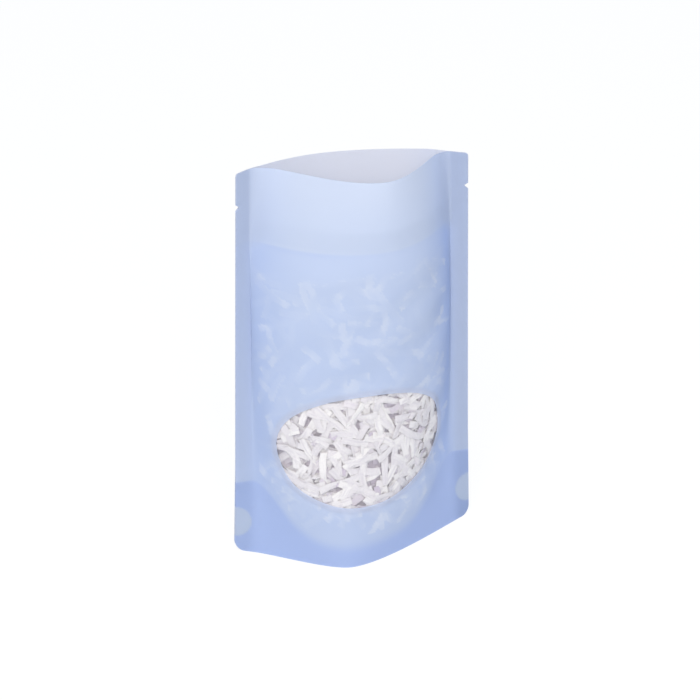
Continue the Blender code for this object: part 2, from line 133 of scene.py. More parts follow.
@dataclass
class BagForm:
    """The shape of the standing bag, which every sheet and the paper follow."""

    width: float = 134 * MM
    height: float = 200 * MM
    film: float = 0.15 * MM
    clearance: float = 0.3 * MM
    side_seal: float = 8.5 * MM
    gusset_depth: float = 38 * MM
    zipper_drop: float = 36 * MM
    foot_draw_in: float = 13.1 * MM
    mouth_draw_in: float = 23.1 * MM
    belly_level: float = 70 * MM
    foot_opening: float = math.radians(29.75)
    mouth_sweep: float = math.radians(-38.25)
    mouth_turn: float = math.radians(-3.0)
    left_seal_drops: tuple[float, float] = (0.0, 0.5 * MM)
    right_seal_drops: tuple[float, float] = (0.9 * MM, 1.6 * MM)
    seal_drop_reach: float = 14 * MM
    foot_corner: float = 5 * MM
    foot_seal: float = 10 * MM
    fold_lift: float = 4 * MM
    seam_fade: float = 14.4 * MM
    dent: float = 0.35 * MM
    dent_length: float = 26 * MM
    dent_count: int = 7
    dent_seed: int = 5
    dent_lean: float = 0.8
    dent_edge: float = 14 * MM
    dent_start: float = 8 * MM
    dent_rise: float = 20 * MM
    dent_fall: float = 30 * MM
    punch_radius: float = 8 * MM
    punch_level: float = 16 * MM
    direction_step: float = 0.004
    curve_steps: int = 48
    walls: dict[Side, WallForm] = field(
        default_factory=lambda: {Side.FRONT: FRONT_FORM, Side.BACK: BACK_FORM})

    def __post_init__(self) -> None:
        """Work out the distances and the dents that the other methods share."""
        self.stack_step = self.film + self.clearance
        self.flat_half = self.width / 2 - self.side_seal
        picker = np.random.default_rng(self.dent_seed)
        turns = picker.uniform(0, 2 * math.pi, self.dent_count)
        lengths = self.dent_length * picker.uniform(0.7, 1.5, self.dent_count)
        self._waves = 2 * math.pi / lengths * np.array([np.cos(turns), np.sin(turns)])
        self._phases = picker.uniform(0, 2 * math.pi, self.dent_count)

    def at_level(self, values: Levels, h: float) -> float:
        """Read a measure of a wall at any height, on a smooth curve through its four levels."""
        levels = np.array([0.0, self.belly_level, self.height - self.zipper_drop, self.height])
        known = np.array(values)
        slopes = np.gradient(known, levels)
        index = int(np.clip(np.searchsorted(levels, h) - 1, 0, len(levels) - 2))
        span = levels[index + 1] - levels[index]
        t = (h - levels[index]) / span
        rise = t * t * (3 - 2 * t)
        start_slope = span * slopes[index] * t * (1 - t) ** 2
        end_slope = span * slopes[index + 1] * t * t * (t - 1)
        return known[index] * (1 - rise) + known[index + 1] * rise + start_slope + end_slope

    def seal_distance(self, h: float) -> float:
        """Return the straight distance between the outer edges of the side seals."""
        more = self.mouth_draw_in - self.foot_draw_in
        return self.width - self.foot_draw_in - more * h / self.height

    def seal_angle(self, side: Side, h: float) -> float:
        """Return the angle at which a wall leaves the plane of the seals."""
        opening = self.foot_opening * (1 - min(h / self.gusset_depth, 1.0))
        swept = max(h - self.gusset_depth, 0.0) / (self.height - self.gusset_depth)
        return opening + self.walls[side].sweep_sign * self.mouth_sweep * swept

    def wall_curve(self, side: Side, h: float) -> tuple[np.ndarray, np.ndarray]:
        """Return a wall in plan between its creases, and the distance run along it."""
        wall = self.walls[side]
        angle = self.seal_angle(side, h)
        middle = np.array([self.at_level(wall.shift, h), self.at_level(wall.depth, h)])
        turn = self.at_level(wall.turn, h)
        crown = self.at_level(wall.crown, h)
        t = np.linspace(0, 1, self.curve_steps + 1)[:, None]
        halves = []
        for end in (-1, 1):
            inward = np.array([-end * math.cos(angle), math.sin(angle)])
            crease = np.array([end * self.seal_distance(h) / 2, 0.0]) + self.side_seal * inward
            reach = abs(middle[0] - crease[0])
            leave = crease + turn * reach * inward
            arrive = middle + np.array([end * crown * reach, 0.0])
            halves.append((1 - t) ** 3 * crease + 3 * (1 - t) ** 2 * t * leave
                          + 3 * (1 - t) * t ** 2 * arrive + t ** 3 * middle)
        points = np.vstack([halves[0], halves[1][::-1][1:]])
        run = np.concatenate([[0.0], np.cumsum(np.linalg.norm(np.diff(points, axis=0), axis=1))])
        return points, run

    def plan_points(self, side: Side, s: np.ndarray, h: float) -> tuple[np.ndarray, np.ndarray]:
        """Place points of one height in plan.

        Args:
            side: The wall.
            s: Distances along the film from the middle.
            h: Their height.

        Returns:
            The points along X and out of the seal plane, and the outward directions there.
        """
        points, run = self.wall_curve(side, h)
        along = np.clip((s + self.flat_half) / (2 * self.flat_half), 0, 1) * run[-1]
        step = run[-1] * self.direction_step
        here, ahead, behind = (
            np.stack([np.interp(at, run, points[:, axis]) for axis in (0, 1)], axis=1)
            for at in (along, along + step, along - step))
        direction = ahead - behind
        direction /= np.linalg.norm(direction, axis=1)[:, None]
        normal = np.stack([-direction[:, 1], direction[:, 0]], axis=1)
        angle = self.seal_angle(side, h)
        past = np.maximum(np.abs(s) - self.flat_half, 0.0)[:, None]
        end, level = np.sign(s), np.ones_like(s)
        seal_way = np.stack([end * math.cos(angle), -level * math.sin(angle)], axis=1)
        seal_normal = np.stack([end * math.sin(angle), level * math.cos(angle)], axis=1)
        return here + past * seal_way, np.where(past > 0, seal_normal, normal)

    def dents(self, side: Side, s: np.ndarray, h: np.ndarray) -> np.ndarray:
        """Return how far the film stands out where the paper presses on it."""
        waves = np.stack([s, h * self.dent_lean], axis=-1) @ self._waves + self._phases + 2.0 * side
        away_from_seals = smooth((self.flat_half - np.abs(s)) / self.dent_edge)
        above_foot = smooth((h - self.dent_start) / self.dent_rise)
        below_zipper = smooth((self.height - self.zipper_drop - h) / self.dent_fall)
        share = away_from_seals * above_foot * below_zipper
        return self.dent * share * np.sin(waves).sum(axis=-1) / math.sqrt(self.dent_count)

    def lip_drop(self, side: Side, s: np.ndarray, h: float, out: np.ndarray) -> np.ndarray:
        """Return how far the mouth's edge dips, alike in both walls where they are welded."""
        wall = self.walls[side]
        edge, crease = np.where(s[:, None] > 0, self.right_seal_drops, self.left_seal_drops).T
        past_crease = self.flat_half - np.abs(s)
        in_seal = crease + (edge - crease) * -past_crease / self.side_seal
        steepness = wall.lip_drop / self.at_level(wall.depth, h)
        crease_out = self.side_seal * math.sin(self.seal_angle(side, h))
        at_crease = crease - steepness * max(crease_out, 0.0)
        fading = at_crease * (1 - smooth(past_crease / self.seal_drop_reach))
        return np.where(past_crease < 0, in_seal, steepness * np.maximum(out, 0.0) + fading)

    def place(self, side: Side, s: Sequence[float], h: Sequence[float],
              inset: Sequence[float] | float = 0.0) -> np.ndarray:
        """Put points of the flat bag on the standing bag.

        Args:
            side: The wall that they lie on.
            s: Their distances along the film from the middle.
            h: Their heights in the flat.
            inset: How far they lie inside the middle of the film.

        Returns:
            One row of X, Y and Z for each point.
        """
        s = np.atleast_1d(np.asarray(s, float))
        h = np.broadcast_to(np.asarray(h, float), s.shape)
        inset = np.broadcast_to(np.asarray(inset, float), s.shape) - self.dents(side, s, h)
        placed = np.empty((len(s), 3))
        heights, group = np.unique(h.round(7), return_inverse=True)
        for index, height in enumerate(heights):
            chosen = np.flatnonzero(group == index)
            here, normal = self.plan_points(side, s[chosen], height)
            sheets_apart = 3 - 2 * smooth((height - self.gusset_depth) / self.seam_fade)
            offset = sheets_apart * self.stack_step / 2 - inset[chosen]
            x, out = (here + offset[:, None] * normal).T
            y = side * out
            turn = self.mouth_turn * height / self.height
            drop = self.lip_drop(side, s[chosen], height, out) * (height / self.height) ** 2
            placed[chosen, 0] = x * math.cos(turn) - y * math.sin(turn)
            placed[chosen, 1] = x * math.sin(turn) + y * math.cos(turn)
            placed[chosen, 2] = height - drop
        return placed

    def foot_seal_height(self, s: np.ndarray) -> np.ndarray:
        """Return the height of the curved seal between a panel and the gusset."""
        share = np.minimum(np.abs(s) / self.flat_half, 1.0)
        top = self.gusset_depth - self.stack_step
        return self.foot_seal + (top - self.foot_seal) * np.sin(math.pi / 2 * share ** 2) ** 2

    def fold_points(self, s: np.ndarray, side: Side) -> np.ndarray:
        """Return the gusset's fold, which the opened bag turned into the middle of its floor."""
        seal = self.foot_seal_height(s)
        front = self.place(Side.FRONT, s, seal, self.stack_step)
        back = self.place(Side.BACK, s, seal, self.stack_step)
        across = back - front
        across /= np.linalg.norm(across, axis=1)[:, None]
        middle = (front + back) / 2 + side * self.stack_step / 2 * across
        share = np.minimum(np.abs(s) / self.flat_half, 1.0)
        middle[:, 2] = seal + self.fold_lift * (1 - share ** 2) + self.stack_step
        return middle

    def floor_height(self, s: np.ndarray) -> np.ndarray:
        """Return the height of the gusset's fold at each place along the bag."""
        return self.fold_points(np.atleast_1d(s), Side.FRONT)[:, 2]


# Nodes and finishes


def feed(node: Node, inputs: Inputs) -> Node:
    """Fill a node's inputs, each with a plain value or from the socket that is given for it."""
    for key, value in inputs.items():
        if isinstance(value, Socket):
            node.id_data.links.new(value, node.inputs[key])
        else:
            node.inputs[key].default_value = value
    return node


def add_node(tree: Tree, kind: str, inputs: Inputs | None = None, **settings: object) -> Node:
    """Add a node to a tree.

    Args:
        tree: The tree.
        kind: The node's type.
        inputs: What goes into its inputs, by their names or numbers.
        **settings: The node's own settings, by their names.

    Returns:
        The node.
    """
    node = tree.nodes.new(kind)
    for name, setting in settings.items():
        setattr(node, name, setting)
    return feed(node, inputs or {})


def new_material(name: str) -> tuple[bpy.types.Material, Tree, Node]:
    """Make a material with a Principled shader."""
    material = bpy.data.materials.new(name)
    material.use_nodes = True
    tree = material.node_tree
    return material, tree, tree.nodes["Principled BSDF"]


def plain_colour(tree: Tree, colour: Colour) -> Socket:
    """Give one plain colour."""
    node = tree.nodes.new("ShaderNodeRGB")
    node.outputs[0].default_value = (*colour, 1.0)
    return node.outputs[0]


def mix_colour(tree: Tree, factor: Socket, base: Socket, colour: Colour) -> Socket:
    """Mix a plain colour over what a socket gives, by a factor."""
    inputs = {"Factor": factor, 6: base, 7: (*colour, 1.0)}
    return add_node(tree, "ShaderNodeMix", inputs, data_type="RGBA").outputs[2]


def carried_value(tree: Tree, name: str, output: str = "Fac") -> Socket:
    """Read a number or a vector that the mesh carries."""
    return add_node(tree, "ShaderNodeAttribute", attribute_name=name).outputs[output]


def noise_value(tree: Tree, scale: float, detail: float = 2.0) -> Socket:
    """Make noise on Object coordinates."""
    place = tree.nodes.new("ShaderNodeTexCoord").outputs["Object"]
    inputs = {"Scale": scale, "Detail": detail, "Vector": place}
    return add_node(tree, "ShaderNodeTexNoise", inputs).outputs["Fac"]


def scaled(tree: Tree, value: Socket, old: Span, new: Span) -> Socket:
    """Stretch a range of values to another range."""
    inputs = {"Value": value, "From Min": old[0], "From Max": old[1],
              "To Min": new[0], "To Max": new[1]}
    return add_node(tree, "ShaderNodeMapRange", inputs).outputs["Result"]


def add_bump(tree: Tree, shader: Node, height: Socket, strength: float, distance: float) -> None:
    """Give a shader a fine bump."""
    inputs = {"Strength": strength, "Distance": distance, "Height": height}
    feed(shader, {"Normal": add_node(tree, "ShaderNodeBump", inputs).outputs["Normal"]})


def show_blend(tree: Tree, share: Socket | float, first: Node, second: Node) -> Node:
    """Show a blend of two shaders, with a share of the second, and return the mixer."""
    inputs = {"Fac": share, 1: first.outputs[0], 2: second.outputs[0]}
    blend = add_node(tree, "ShaderNodeMixShader", inputs)
    feed(tree.nodes["Material Output"], {"Surface": blend.outputs["Shader"]})
    return blend


def let_through(tree: Tree, shader: Node, colour: Socket, share: float) -> Node:
    """Let a share of the light through a thin sheet, in its own colour, and return the mixer."""
    through = add_node(tree, "ShaderNodeBsdfTranslucent", {"Color": colour})
    return show_blend(tree, share, shader, through)


@dataclass(frozen=True)
class FrostedFilm:
    """The frosted film, whose colour changes where it is welded, doubled or touched by paper, and
    which carries painted shade toward its sides and on its welds, a painted highlight and shade along
    the zipper line and painted light around the window.
    """

    name: str
    body: Colour = (0.558, 0.651, 0.888)
    head: Colour = (0.625, 0.693, 0.855)
    # Painted shade toward the side creases of a wall.
    painted_side_shade: Colour = (0.405, 0.535, 0.900)
    # The welded side seals, which are also painted darker as shade.
    weld_and_shade: Colour = (0.465, 0.538, 0.725)
    skirt: Colour = (0.460, 0.568, 0.880)
    # The gusset's foot seal, which also carries painted shade that is stronger on the right.
    foot_weld_and_shade: Colour = (0.365, 0.460, 0.735)
    punch: Colour = (0.495, 0.575, 0.750)
    paper: Colour = (0.790, 0.830, 0.950)
    # The zipper's seam, painted as a light line above a dark one: painted highlight and painted
    # shade.
    ridge: Colour = (0.760, 0.810, 0.950)
    groove: Colour = (0.480, 0.580, 0.860)
    glow: Colour = (0.860, 0.900, 0.980)
    roughness: float = 0.42
    ior: float = 1.45
    specular: float = 0.35
    see_through: float = 0.28
    rim_see_through: float = 0.60
    cloud_scale: float = 45.0
    cloud_span: Span = (0.35, 0.65)
    cloud_share: float = 0.12
    glow_cloud_span: Span = (0.3, 0.7)
    glow_shares: Span = (0.55, 0.65)
    frost_scale: float = 2200.0
    frost_strength: float = 0.12
    frost_height: float = 0.05 * MM

    def build(self) -> bpy.types.Material:
        """Build the material, which reads the numbers that a sheet's mesh carries."""
        material, tree, shader = new_material(self.name)
        cloud = noise_value(tree, self.cloud_scale)
        base = mix_colour(tree, scaled(tree, cloud, self.cloud_span, (0.0, self.cloud_share)),
                          plain_colour(tree, self.body), self.head)
        # Each mark mixes its colour over the film: its own tones, and the painted shade, highlight
        # and light that the marks carry.
        for carried, colour in (("head", self.head), ("painted_side_shade", self.painted_side_shade), ("touch", self.paper),
                                ("skirt", self.skirt), ("weld_and_shade", self.weld_and_shade),
                                ("foot_weld_and_shade", self.foot_weld_and_shade), ("punch", self.punch),
                                ("ridge", self.ridge), ("groove", self.groove)):
            base = mix_colour(tree, carried_value(tree, carried), base, colour)
        feed(shader, {"Base Color": base, "Roughness": self.roughness, "IOR": self.ior,
                      "Specular IOR Level": self.specular})
        add_bump(tree, shader, noise_value(tree, self.frost_scale, 1.0), self.frost_strength,
                 self.frost_height)
        glow_share = scaled(tree, cloud, self.glow_cloud_span, self.glow_shares)
        light = mix_colour(tree, glow_share, base, self.glow)
        blend = let_through(tree, shader, light, self.see_through)
        shares = (self.see_through, self.rim_see_through)
        feed(blend, {"Fac": scaled(tree, carried_value(tree, "rim"), WHOLE, shares)})
        return material


@dataclass(frozen=True)
class ClearFilm:
    """The clear film of the window."""

    colour: Colour = (0.93, 0.92, 0.95)
    alpha: float = 0.10
    roughness: float = 0.10
    tint: float = 0.97
    tint_scale: float = 30.0
    tint_span: Span = (0.4, 0.6)
    wave_scale: float = 60.0
    wave_strength: float = 0.2
    wave_height: float = 0.2 * MM

    def build(self) -> bpy.types.Material:
        """Build the material."""
        material, tree, shader = new_material("clear_window_film")
        clouds = scaled(tree, noise_value(tree, self.tint_scale), self.tint_span, WHOLE)
        tinted = tuple(self.tint * c for c in self.colour)
        feed(shader, {"Base Color": mix_colour(tree, clouds, plain_colour(tree, self.colour), tinted),
                      "Alpha": self.alpha, "Roughness": self.roughness})
        waves = noise_value(tree, self.wave_scale)
        add_bump(tree, shader, waves, self.wave_strength, self.wave_height)
        return material


@dataclass(frozen=True)
class StripPlastic:
    """The smooth milky plastic of the press-to-close strips."""

    low: Colour = (0.84, 0.88, 0.97)
    high: Colour = (0.90, 0.92, 0.97)
    roughness: float = 0.30
    see_through: float = 0.45
    cloud_scale: float = 90.0
    cloud_span: Span = (0.35, 0.65)

    def build(self) -> bpy.types.Material:
        """Build the material."""
        material, tree, shader = new_material("milky_strip_plastic")
        clouds = scaled(tree, noise_value(tree, self.cloud_scale), self.cloud_span, WHOLE)
        base = mix_colour(tree, clouds, plain_colour(tree, self.low), self.high)
        feed(shader, {"Base Color": base, "Roughness": self.roughness})
        let_through(tree, shader, base, self.see_through)
        return material


@dataclass(frozen=True)
class ShreddedPaper:
    """White paper cut into narrow strips, with the fine grain that runs along each, and painted shade
    on the deeper strips.
    """

    bright: Colour = (0.975, 0.945, 0.945)
    dull: Colour = (0.760, 0.715, 0.775)
    # Painted shade of the paper deep inside the bag, seen in the gaps between strips.
    depth_shade: Colour = (0.650, 0.560, 0.695)
    roughness: float = 0.80
    see_through: float = 0.15
    shade_share: float = 0.7
    grain_span: Span = (0.50, 0.62)
    grain_share: float = 0.75
    grain_stretch: tuple[float, float, float] = (1.5, 1000.0, 1.0)
    grain_shift: float = 40.0
    bump_strength: float = 0.35
    bump_height: float = 0.10 * MM

    def build(self) -> bpy.types.Material:
        """Build the material."""
        material, tree, shader = new_material("white_shredded_paper")
        grain = self._grain(tree)
        shade = scaled(tree, carried_value(tree, "shade"), WHOLE, (0.0, self.shade_share))
        base = mix_colour(tree, shade, plain_colour(tree, self.bright), self.dull)
        lines = scaled(tree, grain, self.grain_span, (0.0, self.grain_share))
        base = mix_colour(tree, lines, base, self.dull)
        # Painted shade on the deeper strips and on the plain body behind them.
        base = mix_colour(tree, carried_value(tree, "depth_shade"), base, self.depth_shade)
        feed(shader, {"Base Color": base, "Roughness": self.roughness})
        add_bump(tree, shader, grain, self.bump_strength, self.bump_height)
        let_through(tree, shader, base, self.see_through)
        return material

    def _grain(self, tree: Tree) -> Socket:
        """Make fine lines that run along a strip, in other places on each strip."""
        stretch = add_node(tree, "ShaderNodeMapping", {
            "Vector": carried_value(tree, "strip", "Vector"), "Scale": self.grain_stretch})
        own = scaled(tree, carried_value(tree, "shade"), WHOLE, (0.0, self.grain_shift))
        inputs = {"Vector": stretch.outputs["Vector"], "W": own, "Scale": 1.0, "Detail": 2.0}
        return add_node(tree, "ShaderNodeTexNoise", inputs, noise_dimensions="4D").outputs["Fac"]


# Meshes


def mesh_object(name: str, points: np.ndarray, faces: Faces) -> bpy.types.Object:
    """Make a smooth-shaded object of points and faces, at the origin."""
    mesh = bpy.data.meshes.new(name)
    mesh.from_pydata(points.tolist(), [], faces)
    mesh.shade_smooth()
    mesh.set_sharp_from_angle(angle=SMOOTH_UNDER)
    made = bpy.data.objects.new(name, mesh)
    bpy.context.scene.collection.objects.link(made)
    return made


def carry(piece: bpy.types.Object, name: str, values: np.ndarray) -> None:
    """Store one number for each point of a piece."""
    stored = piece.data.attributes.new(name, "FLOAT", "POINT")
    stored.data.foreach_set("value", np.ascontiguousarray(values, dtype=np.float32))


def grid_faces(columns: int, rows: int, closed: bool = False) -> Faces:
    """Return the faces between rows of points, and from each row's end to its start if closed."""
    faces: Faces = []
    for j in range(rows - 1):
        for i in range(columns if closed else columns - 1):
            a, b = j * columns + i, j * columns + (i + 1) % columns
            faces.append((a, b, b + columns, a + columns))
    return faces


def inside_loop(points: np.ndarray, loop: Sequence[Flat]) -> np.ndarray:
    """Tell which flat points lie inside a closed line."""
    start = np.array(loop)
    stop = np.roll(start, -1, axis=0)
    inside = np.zeros(len(points), bool)
    for (s0, h0), (s1, h1) in zip(start, stop):
        spans = (h0 > points[:, 1]) != (h1 > points[:, 1])
        if spans.any():
            crossing = s0 + (points[:, 1] - h0) * (s1 - s0) / (h1 - h0 if h1 != h0 else 1.0)
            inside ^= spans & (points[:, 0] < crossing)
    return inside


def loop_distance(points: np.ndarray, loop: Sequence[Flat]) -> np.ndarray:
    """Return the least distance from each flat point to a closed line."""
    start = np.array(loop)
    stop = np.roll(start, -1, axis=0)
    least = np.full(len(points), np.inf)
    for a, b in zip(start, stop):
        edge = b - a
        share = np.clip(((points - a) @ edge) / max(edge @ edge, 1e-18), 0, 1)
        least = np.minimum(least, np.linalg.norm(points - a - share[:, None] * edge, axis=1))
    return least


def arc(centre: Flat, radius: float, start: float, stop: float, step: float) -> list[Flat]:
    """Return points of a circle's arc between two angles in degrees."""
    count = max(math.ceil(abs(math.radians(stop - start)) * radius / step), 3)
    angles = np.radians(np.linspace(start, stop, count + 1))
    return [(centre[0] + radius * math.cos(a), centre[1] + radius * math.sin(a)) for a in angles]


def line(start: Flat, stop: Flat, step: float) -> list[Flat]:
    """Return points of a straight line, both ends with it."""
    count = max(math.ceil(math.dist(start, stop) / step), 1)
    return [tuple(p) for p in np.linspace(start, stop, count + 1)]


def without_repeats(loop: Sequence[Flat]) -> list[Flat]:
    """Drop the points of a closed line that repeat the one before them."""
    befores = [loop[-1]] + list(loop[:-1])
    return [p for p, before in zip(loop, befores) if math.dist(p, before) > SAME_POINT]


@dataclass
class FlatCut:
    """A sheet cut out flat and divided into small triangles."""

    outline: list[Flat]
    holes: list[list[Flat]]
    spacing: float
    clear_share: float = 0.55

    def divide(self) -> tuple[np.ndarray, np.ndarray]:
        """Divide the sheet.

        Returns:
            The flat points, and one row of three point numbers for each triangle.
        """
        loops = [without_repeats(loop) for loop in [self.outline] + self.holes]
        corners = np.array(loops[0])
        low, high = corners.min(axis=0), corners.max(axis=0)
        counts = np.ceil((high - low) / self.spacing).astype(int)
        across, up = (np.linspace(low[i], high[i], counts[i] + 1) for i in (0, 1))
        grid = np.array([(s, h) for h in up for s in across])
        grid = grid[self._kept(grid, loops)]
        room = np.min([loop_distance(grid, loop) for loop in loops], axis=0)
        grid = grid[room > self.clear_share * self.spacing]
        points: list[Flat] = []
        edges: list[tuple[int, int]] = []
        for loop in loops:
            first = len(points)
            points += loop
            edges += [(first + i, first + (i + 1) % len(loop)) for i in range(len(loop))]
        both = [Vector(p) for p in points] + [Vector(p) for p in grid]
        flat, _, triangles, *_ = delaunay_2d_cdt(both, edges, [], 1, 1e-8)
        flat = np.array([tuple(p) for p in flat])
        triangles = np.array([tuple(t) for t in triangles])
        centres = flat[triangles].mean(axis=1)
        return flat, triangles[self._kept(centres, loops)]

    @staticmethod
    def _kept(points: np.ndarray, loops: list[list[Flat]]) -> np.ndarray:
        """Tell which points lie in the outline and in no hole."""
        kept = inside_loop(points, loops[0])
        for hole in loops[1:]:
            kept &= ~inside_loop(points, hole)
        return kept


def rim_edges(triangles: np.ndarray) -> np.ndarray:
    """Return the edges that only one triangle uses, in that triangle's direction."""
    edges = np.concatenate([triangles[:, [0, 1]], triangles[:, [1, 2]], triangles[:, [2, 0]]])
    width = edges.max() + 1
    forward = edges[:, 0] * width + edges[:, 1]
    backward = edges[:, 1] * width + edges[:, 0]
    return edges[~np.isin(forward, backward)]


@dataclass
class Window:
    """The oval window, as a line in the flat front panel."""

    half_width: float = 45.0 * MM
    half_height: float = 29.1 * MM
    level: float = 59.7 * MM
    offset: float = 0.8 * MM
    squareness: float = 2.15
    border: float = 6 * MM
    steps: int = 260

    def edge(self, border: float = 0.0) -> list[Flat]:
        """Return the window's edge, or a line that lies the border outside it."""
        power = 2 / self.squareness
        angles = 2 * math.pi * np.arange(self.steps) / self.steps
        across = np.sign(np.cos(angles)) * np.abs(np.cos(angles)) ** power
        up = np.sign(np.sin(angles)) * np.abs(np.sin(angles)) ** power
        s = self.offset + (self.half_width + border) * across
        h = self.level + (self.half_height + border) * up
        return list(zip(s.tolist(), h.tolist()))


@dataclass(frozen=True)
class FilmMarks:
    """Where a panel's film is welded, doubled, marked or touched by paper, and where light and shade
    are painted on it, as numbers from 0 to 1.

    A pair of shares holds how strong a mark is on the left and on the right of the panel; the painted
    shade toward the sides and on the welds is stronger on the right.
    """

    form: BagForm
    window: Window
    head_fade: float = 12 * MM
    weld_fade: float = 11 * MM
    head_weld_reach: float = 6 * MM
    head_weld_fade: float = 8 * MM
    # Painted shade on the welds: less of it on the left, all of it on the right.
    weld_shade_shares: Span = (0.62, 1.0)
    foot_weld_fade: float = 8 * MM
    # Painted side shade: its shares on the left and the right, how far in from the creases it
    # reaches, and its fade.
    side_shade_shares: Span = (0.36, 0.76)
    side_shade_reach: float = 32 * MM
    side_shade_fade: float = 35 * MM
    side_shade_in_head: float = 0.5
    skirt_softness: Span = (1.4, 6.0)
    skirt_soft_reach: float = 26 * MM
    punch_fade: float = 0.8 * MM
    line_end: float = 4 * MM
    line_end_fade: float = 8 * MM
    line_shares: Span = (0.2, 0.8)
    line_share_start: float = 10 * MM
    line_share_fade: float = 50 * MM
    # Painted highlight and painted shade of the zipper's seam: share, height above the strip's lower
    # edge, and width.
    ridge: tuple[float, float, float] = (0.22, 0.7 * MM, 0.6 * MM)
    groove: tuple[float, float, float] = (0.30, -1.2 * MM, 1.1 * MM)
    head_shares: tuple[float, float, float] = (0.45, 0.30, 0.25)
    head_rises: tuple[float, float, float] = (1.5 * MM, 34 * MM, 50 * MM)
    rim_reach: float = 3.2 * MM
    rim_inner: float = 0.3
    # Painted light: how far the film is paled toward the paper's colour around the window.
    rim_painted_light: float = 0.60
    touch_gap: float = 0.55 * MM
    touch_fade: float = 1.6 * MM
    touch_share: float = 0.16
    line_fade: float = 0.16 * MM
    line_share: float = 0.40
    touch_search: float = 12 * MM
    low_touch_gain: float = 0.5
    low_touch_level: float = 45 * MM
    low_touch_fade: float = 25 * MM

    def on_panel(self, side: Side, flat: np.ndarray, touch: np.ndarray) -> dict[str, np.ndarray]:
        """Work out every mark of a panel.

        Args:
            side: The panel's side of the bag.
            flat: The panel's points in the flat.
            touch: How strongly the paper behind each point shows.

        Returns:
            The numbers of each mark, by its name.
        """
        form = self.form
        s, h = flat.T
        reach = np.abs(s)
        above = h - (form.height - form.zipper_drop)
        least, more = self.skirt_softness
        softness = (least + more * smooth((form.flat_half - reach) / self.skirt_soft_reach)) * MM
        skirt = 1 - smooth((h - form.foot_seal_height(s)) / softness + 0.5)
        in_head = smooth(above / self.head_fade + 0.5)
        # The side seals' weld, widened in the head so that its painted shade softens the shading at
        # the creases.
        weld_start = reach - form.flat_half + self.head_weld_reach * in_head
        weld_and_shade = smooth(weld_start / (self.weld_fade + self.head_weld_fade * in_head) + 0.5)
        # Painted shade: the film darkens toward the side creases, much more on the right and less in
        # the head.
        side_shade_share = self._sided(s, self.side_shade_shares) * (1 - self.side_shade_in_head * in_head)
        painted_side_shade = smooth((reach - form.flat_half + self.side_shade_reach) / self.side_shade_fade) * side_shade_share
        # The gusset's foot seal, toward the sides, with the welds' painted shade that is stronger on
        # the right.
        foot_weld_and_shade = smooth((reach - form.flat_half) / self.foot_weld_fade + 0.5)
        weld_shade_share = self._sided(s, self.weld_shade_shares)
        punch_run = np.hypot(reach - form.width / 2, h - form.punch_level) - form.punch_radius
        low = smooth((self.low_touch_level - h) / self.low_touch_fade)
        touch = touch * (1 + self.low_touch_gain * low)
        marks = {
            "touch": touch * (1 - weld_and_shade),
            "head": self._head(above),
            "painted_side_shade": painted_side_shade * (1 - skirt) * (1 - weld_and_shade),
            "skirt": skirt,
            "weld_and_shade": weld_and_shade * weld_shade_share * (1 - skirt),
            "foot_weld_and_shade": foot_weld_and_shade * weld_shade_share * skirt,
            "punch": 1 - smooth(punch_run / self.punch_fade + 0.5),
            # The zipper's seam: a painted highlight above a painted shade, stronger on the lit left.
            "ridge": self._line(s, above, *self.ridge),
            "groove": self._line(s, above, *self.groove),
        }
        if side == Side.FRONT:
            run = loop_distance(flat, self.window.edge())
            rim = 1 - smooth(run / self.rim_reach - self.rim_inner)
            marks["rim"] = rim
            # Painted light: the film is paled around the window, which lifts the band that lets more
            # light through.
            marks["touch"] = np.maximum(marks["touch"], self.rim_painted_light * rim)
        return marks

    def touch(self, outer: np.ndarray, inner: np.ndarray, paper: BVHTree) -> np.ndarray:
        """Return how strongly the paper behind each point shows through the frosted film."""
        direction = inner - outer
        direction /= np.linalg.norm(direction, axis=1)[:, None]
        depth = np.full(len(inner), 1.0)
        for i, (start, way) in enumerate(zip(inner, direction)):
            hit = paper.ray_cast(Vector(start), Vector(way), self.touch_search)
            if hit[0] is not None:
                depth[i] = hit[3]
        apart = np.maximum(depth - self.touch_gap, 0.0)
        near = self.touch_share * np.exp(-apart / self.touch_fade)
        return near + self.line_share * np.exp(-apart / self.line_fade)

    def _head(self, above: np.ndarray) -> np.ndarray:
        """Return how pale the film is above the strip: a step, and a rise above and below it."""
        step, rise, lead = (
            share * smooth(above / fade + start)
            for share, fade, start in zip(self.head_shares, self.head_rises, (0.5, 0.0, 1.0)))
        return step + rise + lead

    def _line(self, s: np.ndarray, above: np.ndarray, share: float, level: float,
              width: float) -> np.ndarray:
        """Return a painted line along the strip, the painted highlight or the painted shade of its
        seam, which fades to the right, away from the lit left side, and at both ends.
        """
        ends = smooth((self.form.flat_half - self.line_end - np.abs(s)) / self.line_end_fade)
        least, more = self.line_shares
        toward_lit_left = least + more * smooth((self.line_share_start - s) / self.line_share_fade)
        return share * (ends * toward_lit_left) * np.exp(-((above - level) / width) ** 2)

    @staticmethod
    def _sided(s: np.ndarray, shares: Span) -> np.ndarray:
        """Return the left or the right share at each place."""
        return np.where(s > 0, shares[1], shares[0])


